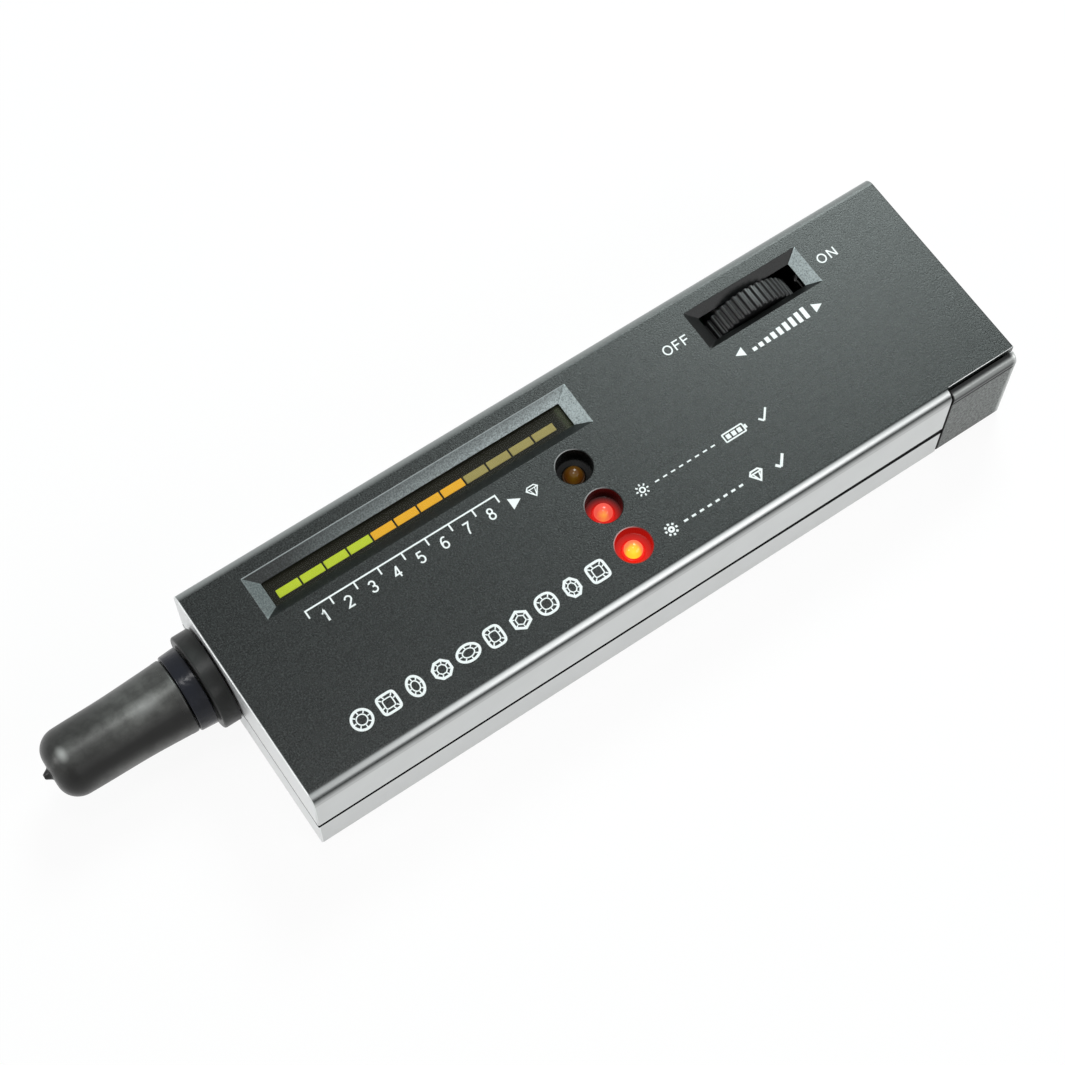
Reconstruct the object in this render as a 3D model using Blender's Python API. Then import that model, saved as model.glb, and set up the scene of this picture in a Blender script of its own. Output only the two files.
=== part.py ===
"""Hand-held diamond tester, in metres.

+X runs from the probe to the rear, +Y to the side of the thumbwheel and the light bars, +Z up.
The origin is the centre of the flat underside.
"""

import math

import bmesh
import bpy
from mathutils import Matrix, Vector

# Clearances and overruns
SEAT_GAP = 0.0003
MOULD_FIT = 0.00005
OVERRUN = 0.002
WELD = 0.000001

# Housing walls
SIDE_WALL = 0.0014
TOP_WALL = 0.00165
FLOOR_WALL = 0.0013
FRONT_WALL = 0.0020
SEAM_BELOW_BOARD = 0.0012
EDGE_FILLET = 0.00175
BOTTOM_FILLET = 0.0006
FILLET_STEPS = 6

# Battery, a 9 V block lying on its wide side
BATTERY_LENGTH = 0.0464
BATTERY_WIDTH = 0.0254
BATTERY_HEIGHT = 0.01645
BATTERY_CORNER = 0.0015
BATTERY_END_PLAY = 0.0005
BATTERY_SIDE_PLAY = 0.0004
TERMINAL_SPACING = 0.01295
TERMINAL_LENGTH = 0.0026
MALE_TERMINAL_RADIUS = 0.0028
FEMALE_TERMINAL_RADIUS = 0.0036
TERMINAL_STEPS = 16

# Battery snap and its leads
SNAP_THICKNESS = 0.0040
SNAP_STOP_PLAY = 0.0004
SNAP_HEIGHT = 0.0125
SNAP_CORNER = 0.0030
LEAD_RADIUS = 0.0006
LEAD_SPACING = 0.0060
LEAD_REACH = 0.0060
LEAD_RISE = 0.0022
LEAD_POINTS = 9

# Battery cover
COVER_LENGTH = 0.01325
COVER_WALL = 0.0015
COVER_RAIL_DROP = 0.0009
COVER_RAIL_HEIGHT = 0.0027
COVER_PANEL_INSET = 0.00015
TONGUE_THICKNESS = 0.0006
TONGUE_PLAY = 0.00025
TONGUE_LENGTH = 0.0065
TONGUE_ROOT = 0.0005
TONGUE_HEIGHT = 0.0090

# Partition between the battery bay and the thumbwheel
PARTITION = 0.0009
PARTITION_START = 0.0350
STOP_RIB_REACH = 0.0007
STOP_RIB_LENGTH = 0.0010

# Thumbwheel and the rotary control behind it
WHEEL_SETBACK = 0.01605
WHEEL_PROUD = 0.0004
WHEEL_FLOOR_GAP = 0.0007
WHEEL_THICKNESS = 0.00406
WHEEL_NEAR_PLAY = 0.00087
WHEEL_TEETH = 48
TOOTH_DEPTH = 0.00045
WHEEL_EDGE = 0.0003
TOOTH_TOP_SHARE = 0.42
TOOTH_ROOT_SHARE = 0.22
WHEEL_DISH_RADIUS = 0.0062
WHEEL_DISH_DEPTH = 0.0006
SHAFT_RADIUS = 0.0015
SHAFT_HEAD_RADIUS = 0.0026
SHAFT_HEAD = 0.0004
SHAFT_STEPS = 24
CONTROL_DEPTH = 0.0036
CONTROL_SIZE = 0.0100
CONTROL_FAR_PLAY = 0.0005
CONTROL_CORNER = 0.0010
CRADLE_INSET = 0.0010

# Recesses for the window and the wheel
RECESS_DEPTH = 0.0014
DISPLAY_START = 0.0099
DISPLAY_WIDTH = 0.0079
DISPLAY_SHIFT = 0.0001
DISPLAY_BEVEL_X = 0.0023
DISPLAY_BEVEL_Y = 0.0017
BAR_MARGIN_FRONT = 0.0015
BAR_MARGIN_REAR = 0.0019
WHEEL_RECESS_LENGTH = 0.0221
WHEEL_RECESS_SHIFT = 0.0003
WHEEL_RECESS_BEVEL_X = 0.0021
WHEEL_RECESS_BEVEL_Y = 0.0014
WHEEL_SLOT_PLAY = 0.00035

# Light bars
BAR_COUNT = 12
LIT_GREEN = 4
LIT_ORANGE = 4
BAR_PITCH = 0.00429
BAR_LENGTH = 0.0039
BAR_WIDTH = 0.00138
BAR_HEIGHT = 0.0024
BAR_SOCKET_PLAY = 0.00008
WINDOW_THICKNESS = 0.0008
WINDOW_LEDGE = 0.0013
WINDOW_RIM = 0.0009
WINDOW_RIM_DROP = 0.0004
FRAME_MARGIN = 0.0022
FRAME_END_MARGIN = 0.0012

# Lamps
LAMP_SETBACK = 0.0069
LAMP_FIRST_INSET = 0.0088
LAMP_PITCH = 0.0080
LAMP_COUNT = 3
LAMP_DIAMOND_DEPTH = 0.00155
LAMP_BATTERY_DEPTH = 0.00115
LAMP_READY_DEPTH = 0.0003
LAMP_RADIUS = 0.0015
LAMP_BODY = 0.0038
LAMP_FLANGE_RADIUS = 0.0019
LAMP_FLANGE = 0.0010
LAMP_LEG = 0.0005
LAMP_LEG_SPACING = 0.00127
LAMP_SEAT_DROP = 0.0018
LAMP_SEAT_THICKNESS = 0.0008
LAMP_STEPS = 16
WELL_RADIUS = 0.00297
WELL_WALL = 0.0010
WELL_STEPS = 32

# Circuit board and the parts on it
BOARD_OVER_NOSE = 0.0010
BOARD_THICKNESS = 0.0016
BOARD_FRONT_GAP = 0.0010
BOARD_SIDE_GAP = 0.0005
BOARD_REAR_MARGIN = 0.0025
BOARD_TO_SNAP = 0.0016
BOARD_NOTCH_GAP = 0.0003
BOARD_HOLE_PLAY = 0.0003
CHIP_WIDTH = 0.0064
CHIP_HEIGHT = 0.0033
CHIP_STANDOFF = 0.0006
CHIP_CHAMFER = 0.0004
PIN_PITCH = 0.00254
PIN_WIDTH = 0.0009
PIN_REACH = 0.0008
PIN_THICKNESS = 0.0003
CAPACITOR_RADIUS = 0.0025
CAPACITOR_HEADROOM = 0.00085
CAPACITOR_CRIMP = 0.0002
CAPACITOR_CRIMP_START = 0.0009
CAPACITOR_CRIMP_END = 0.0014
BUZZER_RADIUS = 0.0060
BUZZER_HEADROOM = 0.00125
BUZZER_PORT_RADIUS = 0.0010
BUZZER_PORT_DEPTH = 0.0030
BUZZER_EDGE = 0.0004
PART_STEPS = 20

# Places of the parts on the board, from the board's front edge and from its near edge
DRIVER_CHIP_PINS = 18
AMPLIFIER_CHIP_PINS = 8
CHIP_TO_LEADS = 0.0008
CHIP_SPACING = 0.0030
CHIP_ROW_GAP = 0.0005
CAPACITOR_COUNT = 2
CAPACITOR_START = 0.0240
CAPACITOR_SPACING = 0.0080
CAPACITOR_SIDE = 0.0052
BUZZER_START = 0.0455
BUZZER_MARGIN = 0.0008

# Screws and their bosses
BOSS_FROM_DISPLAY = 0.0061
BOSS_TO_BARREL = 0.0007
BOSS_RADIUS = 0.0030
TOP_BOSS_RADIUS = 0.0026
SCREW_HEAD_RADIUS = 0.0018
SCREW_HEAD = 0.0013
SCREW_HEAD_SINK = 0.0006
SCREW_RADIUS = 0.0010
SCREW_TIP = 0.0006
SCREW_BITE = 0.0021
SCREW_STEPS = 14

# Stiffening ribs on the floor
FLOOR_RIB = 0.0010
FLOOR_RIB_HEIGHT = 0.0012
FLOOR_RIB_SHARES = (0.25, 0.45, 0.65)
LIP_THICKNESS = 0.0007
LIP_FOOT = 0.0012

# Nose: the stepped rings, the barrel, the sprung tip and the soft cap
NOSE_SIDE_INSET = 0.01065
COLLAR_RADIUS = 0.0081
COLLAR_LENGTH = 0.0030
COLLAR_EDGE = 0.0004
RING_RADIUS = 0.0067
RING_TAPER = 0.0002
RING_LENGTH = 0.0029
RING_EDGE = 0.00035
NOSE_STEPS = 48
BARREL_RADIUS = 0.0042
BARREL_FLANGE_RADIUS = 0.0054
BARREL_FLANGE = 0.0012
BARREL_REAR = 0.0090
GRIP_RADIUS = 0.0049
GRIP_LENGTH = 0.0056
CONE_LENGTH = 0.0055
CONE_END_RADIUS = 0.0026
GUIDE_LENGTH = 0.0045
CHAMBER_RADIUS = 0.0031
BARREL_STEPS = 24
ROD_RADIUS = 0.0015
ROD_PROUD = 0.0010
ROD_STOP_RADIUS = 0.0027
ROD_STOP = 0.0013
ROD_TAIL_RADIUS = 0.0012
ROD_TAIL_PLAY = 0.0010
TIP_RADIUS = 0.00075
TIP_SHANK = 0.0037
TIP_PROUD = 0.0036
TIP_POINT = 0.0012
TIP_END_RADIUS = 0.0003
ROD_STEPS = 16
PROBE_TRAVEL = 0.0025
PLUG_LENGTH = 0.0050
PLUG_FLANGE = 0.0010
SPRING_WIRE_RADIUS = 0.00025
SPRING_RADIUS = 0.0022
SPRING_TURNS = 10
SPRING_POINTS_A_TURN = 8
PROBE_LEAD_RADIUS = 0.00045
PROBE_LEAD_COUNT = 2
PROBE_LEAD_SIDE = 0.0018
PROBE_LEAD_SIDE_STEP = 0.0013
PROBE_LEAD_RISE = 0.0023
PROBE_LEAD_RISE_STEP = 0.0004
PROBE_LEAD_REACH = 0.0050
PROBE_LEAD_REACH_STEP = 0.0012
PROBE_LEAD_SPREAD = 0.0012
CAP_GAP = 0.00035
CAP_LENGTH = 0.0222
CAP_MOUTH_RADIUS = 0.0063
CAP_MIDDLE_RADIUS = 0.0059
CAP_END_RADIUS = 0.0057
CAP_LIP_ROUND = 0.0005
CAP_LIP_LENGTH = 0.00025
CAP_FLARE_LENGTH = 0.0022
CAP_DOME_LENGTH = 0.0036
CAP_DOME_FLAT = 0.0022
CAP_END_WALL = 0.0015
CAP_DOME_WALL = 0.00125
CAP_INNER_CORNER = 0.0020
CAP_INNER_STEPS = 3
CAP_NUB_RADIUS = 0.0012
CAP_NUB_LENGTH = 0.0011
CAP_NUB_END_SHARE = 0.35
CAP_DOME_STEPS = 5

# Sizes that follow from the pieces that lie beside each other
BODY_HEIGHT = FLOOR_WALL + BATTERY_HEIGHT + TOP_WALL + SEAT_GAP + SEAT_GAP
BAY_SIDE_PLAY = TONGUE_PLAY + TONGUE_THICKNESS + TONGUE_PLAY
BODY_WIDTH = (
    SIDE_WALL
    + BAY_SIDE_PLAY
    + BATTERY_WIDTH
    + BATTERY_SIDE_PLAY
    + PARTITION
    + WHEEL_NEAR_PLAY
    + WHEEL_THICKNESS
    + WHEEL_SLOT_PLAY
    + CONTROL_DEPTH
    + CONTROL_FAR_PLAY
    + SIDE_WALL
)
HALF_WIDTH = BODY_WIDTH / 2
DISPLAY_INNER_LENGTH = BAR_MARGIN_FRONT + BAR_COUNT * BAR_PITCH + BAR_MARGIN_REAR
DISPLAY_LENGTH = DISPLAY_INNER_LENGTH + 2 * DISPLAY_BEVEL_X
DISPLAY_END = DISPLAY_START + DISPLAY_LENGTH
BOSS_REAR = DISPLAY_END + BOSS_FROM_DISPLAY
BOARD_END = BOSS_REAR + BOARD_REAR_MARGIN
SNAP_START = BOARD_END + BOARD_TO_SNAP
BATTERY_START = SNAP_START + SNAP_THICKNESS + SEAT_GAP
BATTERY_END = BATTERY_START + BATTERY_LENGTH
BODY_LENGTH = BATTERY_END + BATTERY_END_PLAY + COVER_WALL
FRONT_X = -BODY_LENGTH / 2
REAR_X = FRONT_X + BODY_LENGTH
COVER_X = REAR_X - COVER_LENGTH
ROOF_HALF_WIDTH = HALF_WIDTH - EDGE_FILLET
INNER_HALF_WIDTH = HALF_WIDTH - SIDE_WALL
CEILING = BODY_HEIGHT - TOP_WALL
NOSE_HEIGHT = BODY_HEIGHT / 2
BOARD_TOP = NOSE_HEIGHT + BOARD_OVER_NOSE
BOARD_HEIGHT = BOARD_TOP - BOARD_THICKNESS
SEAM_HEIGHT = BOARD_HEIGHT - SEAM_BELOW_BOARD
CAPACITOR_HEIGHT = CEILING - CAPACITOR_HEADROOM - BOARD_TOP - SEAT_GAP
BUZZER_HEIGHT = CEILING - BUZZER_HEADROOM - BOARD_TOP - SEAT_GAP
SCREW_LENGTH = BOARD_TOP + SCREW_BITE - SCREW_HEAD_SINK
BATTERY_NEAR = -INNER_HALF_WIDTH + BAY_SIDE_PLAY
BATTERY_FAR = BATTERY_NEAR + BATTERY_WIDTH
BATTERY_BASE = FLOOR_WALL + SEAT_GAP
BATTERY_MIDDLE_Y = (BATTERY_NEAR + BATTERY_FAR) / 2
BATTERY_MIDDLE_Z = BATTERY_BASE + BATTERY_HEIGHT / 2
PARTITION_NEAR = BATTERY_FAR + BATTERY_SIDE_PLAY
PARTITION_FAR = PARTITION_NEAR + PARTITION
WHEEL_NEAR = PARTITION_FAR + WHEEL_NEAR_PLAY
WHEEL_FAR = WHEEL_NEAR + WHEEL_THICKNESS
WHEEL_Y = (WHEEL_NEAR + WHEEL_FAR) / 2
WHEEL_X = COVER_X - WHEEL_SETBACK
WHEEL_RADIUS = (BODY_HEIGHT + WHEEL_PROUD - FLOOR_WALL - WHEEL_FLOOR_GAP) / 2
WHEEL_Z = BODY_HEIGHT + WHEEL_PROUD - WHEEL_RADIUS
CONTROL_NEAR = WHEEL_FAR + WHEEL_SLOT_PLAY
CONTROL_FAR = CONTROL_NEAR + CONTROL_DEPTH
DISPLAY_Y = WHEEL_Y + DISPLAY_SHIFT
BOARD_START_X = FRONT_X + FRONT_WALL + BOARD_FRONT_GAP
BOARD_NEAR = -INNER_HALF_WIDTH + BOARD_SIDE_GAP
BOARD_FAR = INNER_HALF_WIDTH - BOARD_SIDE_GAP
BUZZER_Y = BOARD_NEAR + BUZZER_MARGIN + BUZZER_RADIUS
CHIP_ROW_Y = BUZZER_Y + BUZZER_RADIUS + CHIP_ROW_GAP + PIN_REACH + CHIP_WIDTH / 2
PROBE_LEAD_START_X = FRONT_X + BARREL_REAR + SEAT_GAP + PLUG_FLANGE + SEAT_GAP
PROBE_LEAD_LONGEST = PROBE_LEAD_REACH + (PROBE_LEAD_COUNT - 1) * PROBE_LEAD_REACH_STEP
AMPLIFIER_CHIP_X = PROBE_LEAD_START_X + PROBE_LEAD_LONGEST + PROBE_LEAD_RADIUS + CHIP_TO_LEADS
DRIVER_CHIP_X = AMPLIFIER_CHIP_X + AMPLIFIER_CHIP_PINS / 2 * PIN_PITCH + CHIP_SPACING
LAMP_X = FRONT_X + DISPLAY_END - LAMP_SETBACK
LAMP_FIRST_Y = DISPLAY_Y - LAMP_FIRST_INSET
NOSE_Y = HALF_WIDTH - NOSE_SIDE_INSET
WINDOW_TOP = CEILING - SEAT_GAP
WINDOW_BASE = WINDOW_TOP - WINDOW_THICKNESS
FRAME_TOP = WINDOW_BASE - SEAT_GAP
FRAME_BASE = BOARD_TOP + SEAT_GAP
BARS_START_X = FRONT_X + DISPLAY_START + DISPLAY_BEVEL_X + BAR_MARGIN_FRONT

BOSS_FRONT = FRONT_WALL + SEAT_GAP + BOSS_RADIUS
BOSS_SIDE = INNER_HALF_WIDTH - SEAT_GAP - BOSS_RADIUS
BOSS_MIDDLE_Y = NOSE_Y - BARREL_FLANGE_RADIUS - BOSS_TO_BARREL - BOSS_RADIUS
SNAP_SIDE_INSET = STOP_RIB_REACH + SNAP_STOP_PLAY

# Distances along the nose's axis, counted forwards from the housing's front face
COLLAR_FRONT = SEAT_GAP + COLLAR_LENGTH
RING_BACK = COLLAR_FRONT + SEAT_GAP
RING_FRONT = RING_BACK + RING_LENGTH
CAP_MOUTH = RING_FRONT + CAP_GAP
GRIP_START = RING_FRONT + SEAT_GAP
GRIP_END = GRIP_START + GRIP_LENGTH
BARREL_FRONT = GRIP_END + CONE_LENGTH
CHAMBER_FRONT = BARREL_FRONT - GUIDE_LENGTH
PLUG_FRONT = -BARREL_REAR + PLUG_LENGTH
STOP_FRONT = CHAMBER_FRONT - SEAT_GAP
STOP_BACK = STOP_FRONT - ROD_STOP
ROD_FRONT = BARREL_FRONT + ROD_PROUD
ROD_BACK = PLUG_FRONT + PROBE_TRAVEL + ROD_TAIL_PLAY
TIP_FRONT = ROD_FRONT + TIP_PROUD
BORE_PLAY = SEAT_GAP

COLOURS = {
    "case": ((0.075, 0.082, 0.085), 0.45, 0.0),
    "cover": ((0.060, 0.064, 0.066), 0.60, 0.0),
    "window": ((0.030, 0.028, 0.018), 0.12, 0.0),
    "frame": ((0.012, 0.011, 0.010), 0.50, 0.0),
    "green": ((0.520, 0.700, 0.030), 0.40, 0.0),
    "orange": ((0.900, 0.350, 0.020), 0.40, 0.0),
    "unlit": ((0.300, 0.270, 0.150), 0.40, 0.0),
    "amber": ((0.280, 0.120, 0.020), 0.20, 0.0),
    "red": ((0.850, 0.030, 0.020), 0.20, 0.0),
    "rubber": ((0.020, 0.020, 0.021), 0.55, 0.0),
    "vinyl": ((0.025, 0.024, 0.022), 0.40, 0.0),
    "collar": ((0.045, 0.047, 0.050), 0.40, 0.0),
    "ring": ((0.020, 0.022, 0.032), 0.25, 0.0),
    "barrel": ((0.030, 0.030, 0.032), 0.40, 0.0),
    "copper": ((0.800, 0.380, 0.230), 0.30, 1.0),
    "steel": ((0.560, 0.560, 0.550), 0.30, 1.0),
    "board": ((0.040, 0.180, 0.070), 0.45, 0.0),
    "chip": ((0.020, 0.020, 0.022), 0.50, 0.0),
    "capacitor": ((0.030, 0.045, 0.160), 0.35, 0.0),
    "battery": ((0.250, 0.255, 0.260), 0.35, 1.0),
    "lead_red": ((0.600, 0.020, 0.015), 0.45, 0.0),
    "lead_black": ((0.015, 0.015, 0.015), 0.45, 0.0),
}

UNIT_CUBE = 1.0
POINT_WEIGHT = 1.0
SHARP_ANGLE = math.radians(40)
ROUND_BEVEL_SHARE = 0.5


def clear_scene():
    for obj in list(bpy.data.objects):
        bpy.data.objects.remove(obj, do_unlink=True)


def material(key):
    found = bpy.data.materials.get(key)
    if found:
        return found
    colour, roughness, metallic = COLOURS[key]
    made = bpy.data.materials.new(key)
    made.use_nodes = True
    shader = made.node_tree.nodes["Principled BSDF"]
    shader.inputs["Base Color"].default_value = (*colour, 1.0)
    shader.inputs["Roughness"].default_value = roughness
    shader.inputs["Metallic"].default_value = metallic
    return made


def node_from(name, shape, finish, place=(0, 0, 0), parent=None, smooth=False):
    """Makes the object of a finished bmesh, with its faces turned outwards."""
    bmesh.ops.remove_doubles(shape, verts=shape.verts, dist=WELD)
    bmesh.ops.recalc_face_normals(shape, faces=shape.faces)
    mesh = bpy.data.meshes.new(name)
    shape.to_mesh(mesh)
    shape.free()
    if smooth:
        mesh.shade_smooth()
        mesh.set_sharp_from_angle(angle=SHARP_ANGLE)
    obj = bpy.data.objects.new(name, mesh)
    obj.location = place
    obj.parent = parent
    bpy.context.scene.collection.objects.link(obj)
    mesh.materials.append(material(finish))
    return obj


def tool_from(name, shape, place=(0, 0, 0), parent=None):
    """A helper that cuts or joins another object and isn't a piece itself."""
    tool = node_from(name, shape, "frame", place, parent)
    tool.hide_render = True
    tool.display_type = "WIRE"
    return tool


def combine(target, tool, operation):
    modifier = target.modifiers.new(f"{operation.lower()} {tool.name}", "BOOLEAN")
    modifier.operation = operation
    modifier.object = tool
    modifier.solver = "EXACT"


def cut(target, tool):
    combine(target, tool, "DIFFERENCE")


def join(target, tool):
    combine(target, tool, "UNION")


def combine_group(target, tools, operation):
    """Joins or cuts with several tools in one step, which leaves a cleaner mesh than a chain of steps."""
    group = bpy.data.collections.new(f"{target.name} {operation.lower()}")
    for tool in tools:
        group.objects.link(tool)
    modifier = target.modifiers.new(group.name, "BOOLEAN")
    modifier.operation = operation
    modifier.operand_type = "COLLECTION"
    modifier.collection = group
    modifier.solver = "EXACT"


def add_block(shape, low, high):
    """Adds a box between two corners to a bmesh."""
    size = Vector(high) - Vector(low)
    middle = (Vector(high) + Vector(low)) / 2
    frame = Matrix.Translation(middle) @ Matrix.Diagonal((*size, 1))
    return bmesh.ops.create_cube(shape, size=UNIT_CUBE, matrix=frame)["verts"]


def block(low, high):
    shape = bmesh.new()
    add_block(shape, low, high)
    return shape


def rounded_block(low, high, radius, axis):
    """A box whose four edges along one axis are rounded."""
    shape = block(low, high)
    edges = [e for e in shape.edges if abs((e.verts[0].co - e.verts[1].co)[axis]) > WELD]
    bmesh.ops.bevel(
        shape,
        geom=edges,
        offset=radius,
        segments=FILLET_STEPS,
        profile=ROUND_BEVEL_SHARE,
        affect="EDGES",
    )
    return shape


def add_prism(shape, outline, start, end, axis):
    """Adds an outline of two coordinates, swept along the third axis from start to end."""
    rings = []
    for along in (start, end):
        ring = []
        for first, second in outline:
            point = [first, second]
            point.insert(axis, along)
            ring.append(shape.verts.new(point))
        rings.append(ring)
    for index in range(len(outline)):
        after = (index + 1) % len(outline)
        shape.faces.new((rings[0][index], rings[0][after], rings[1][after], rings[1][index]))
    shape.faces.new(rings[0])
    shape.faces.new(rings[1])


def prism(outline, start, end, axis):
    shape = bmesh.new()
    add_prism(shape, outline, start, end, axis)
    return shape


def add_bevelled_pit(shape, low, high, bevel_x, bevel_y, depth, below):
    """Adds a rectangular funnel: sloped sides down to depth under the top face, then straight to below.

    The slope runs on above the top face, so that the rim is cut clean there.
    """
    levels = ((OVERRUN, -OVERRUN / depth), (-depth, 1), (below, 1))
    rings = []
    for height, share in levels:
        near_x, far_x = low[0] + bevel_x * share, high[0] - bevel_x * share
        near_y, far_y = low[1] + bevel_y * share, high[1] - bevel_y * share
        z = BODY_HEIGHT + height
        corners = ((near_x, near_y, z), (far_x, near_y, z), (far_x, far_y, z), (near_x, far_y, z))
        rings.append([shape.verts.new(corner) for corner in corners])
    for upper, lower in zip(rings, rings[1:]):
        for index in range(len(upper)):
            after = (index + 1) % len(upper)
            shape.faces.new((upper[index], upper[after], lower[after], lower[index]))
    shape.faces.new(rings[0])
    shape.faces.new(rings[-1])


def turned(profile, steps, ring=False):
    """Turns a profile of (distance along X, radius) points about the X axis.

    A ring's profile is a closed loop. Any other profile starts and ends on the axis.
    """
    shape = bmesh.new()
    verts = [shape.verts.new((along, 0, radius)) for along, radius in profile]
    edges = [shape.edges.new(pair) for pair in zip(verts, verts[1:])]
    if ring:
        edges.append(shape.edges.new((verts[-1], verts[0])))
    bmesh.ops.spin(
        shape,
        geom=verts + edges,
        cent=(0, 0, 0),
        axis=(1, 0, 0),
        angle=2 * math.pi,
        steps=steps,
        use_merge=True,
    )
    return shape


def turned_up(profile, steps, ring=False):
    """The same about the Z axis, with profile points of (height, radius)."""
    shape = turned(profile, steps, ring)
    bmesh.ops.rotate(shape, verts=shape.verts, matrix=Matrix.Rotation(-math.pi / 2, 3, "Y"))
    return shape


def turned_across(profile, steps, ring=False):
    """The same about the Y axis, with profile points of (distance along Y, radius)."""
    shape = turned(profile, steps, ring)
    bmesh.ops.rotate(shape, verts=shape.verts, matrix=Matrix.Rotation(math.pi / 2, 3, "Z"))
    return shape


def rod_profile(start, end, radius):
    return [(start, 0), (start, radius), (end, radius), (end, 0)]


def moved(shape, offset):
    bmesh.ops.translate(shape, verts=shape.verts, vec=offset)
    return shape


def merged(shapes):
    """One bmesh that holds several."""
    whole = bmesh.new()
    for shape in shapes:
        mesh = bpy.data.meshes.new("merged part")
        shape.to_mesh(mesh)
        shape.free()
        whole.from_mesh(mesh)
        bpy.data.meshes.remove(mesh)
    return whole


def arc(centre, radius, start, end, steps=FILLET_STEPS):
    """Points on an arc about centre, from start to end in quarter turns."""
    points = []
    for step in range(steps + 1):
        turn = (start + (end - start) * step / steps) * math.pi / 2
        points.append((centre[0] + radius * math.cos(turn), centre[1] + radius * math.sin(turn)))
    return points


def smooth_path(start, start_way, end, end_way, count):
    """Points of a cubic that leaves start along start_way and arrives at end along end_way."""
    start, start_way, end, end_way = (Vector(v) for v in (start, start_way, end, end_way))
    points = []
    for step in range(count):
        t = step / (count - 1)
        a = 2 * t**3 - 3 * t**2 + 1
        b = t**3 - 2 * t**2 + t
        c = 3 * t**2 - 2 * t**3
        d = t**3 - t**2
        points.append(start * a + start_way * b + end * c + end_way * d)
    return points


def tube(name, points, radius, finish, sides, place=(0, 0, 0), parent=None):
    """A round wire along a list of points, with closed ends."""
    curve = bpy.data.curves.new(name, "CURVE")
    curve.dimensions = "3D"
    curve.bevel_depth = radius
    curve.bevel_resolution = sides
    curve.use_fill_caps = True
    spline = curve.splines.new("POLY")
    spline.points.add(len(points) - 1)
    for held, point in zip(spline.points, points):
        held.co = (*point, POINT_WEIGHT)
    obj = bpy.data.objects.new(name, curve)
    obj.location = place
    obj.parent = parent
    bpy.context.scene.collection.objects.link(obj)
    curve.materials.append(material(finish))
    return obj


def screw_places():
    """Centres of the four screws."""
    front = FRONT_X + BOSS_FRONT
    rear = FRONT_X + BOSS_REAR
    return ((front, -BOSS_SIDE), (front, BOSS_MIDDLE_Y), (rear, -BOSS_SIDE), (rear, BOSS_SIDE))


def lamp_places():
    return [(LAMP_X, LAMP_FIRST_Y - index * LAMP_PITCH) for index in range(LAMP_COUNT)]


def lamp_tips():
    """Centre of each lamp and the height of its tip."""
    depths = (LAMP_DIAMOND_DEPTH, LAMP_BATTERY_DEPTH, LAMP_READY_DEPTH)
    return [(x, y, BODY_HEIGHT - depth) for (x, y), depth in zip(lamp_places(), depths)]


def window_edges():
    """Low and high corner of the window in plan."""
    start = FRONT_X + DISPLAY_START + DISPLAY_BEVEL_X - WINDOW_LEDGE
    end = FRONT_X + DISPLAY_END - DISPLAY_BEVEL_X + WINDOW_LEDGE
    half = DISPLAY_WIDTH / 2 - DISPLAY_BEVEL_Y + WINDOW_LEDGE
    return (start, DISPLAY_Y - half), (end, DISPLAY_Y + half)


def wheel_slot_half():
    return WHEEL_THICKNESS / 2 + WHEEL_SLOT_PLAY


def shell_outline(low, high, wall_bottom, filleted_top):
    """Half-open cross-section of a shell in Y and Z: outside, then back along the inside."""
    half = HALF_WIDTH
    inner = INNER_HALF_WIDTH
    if filleted_top:
        centre = half - EDGE_FILLET
        level = high - EDGE_FILLET
        outside = [(half, low)]
        outside += arc((centre, level), EDGE_FILLET, 0, 1)
        outside += arc((-centre, level), EDGE_FILLET, 1, 2)
        outside += [(-half, low)]
        inside = [(-inner, low), (-inner, wall_bottom), (inner, wall_bottom), (inner, low)]
        return outside + inside
    centre = half - BOTTOM_FILLET
    level = low + BOTTOM_FILLET
    outside = [(-half, high)]
    outside += arc((-centre, level), BOTTOM_FILLET, 2, 3)
    outside += arc((centre, level), BOTTOM_FILLET, 3, 4)
    outside += [(half, high)]
    inside = [(inner, high), (inner, wall_bottom), (-inner, wall_bottom), (-inner, high)]
    return outside + inside


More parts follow.
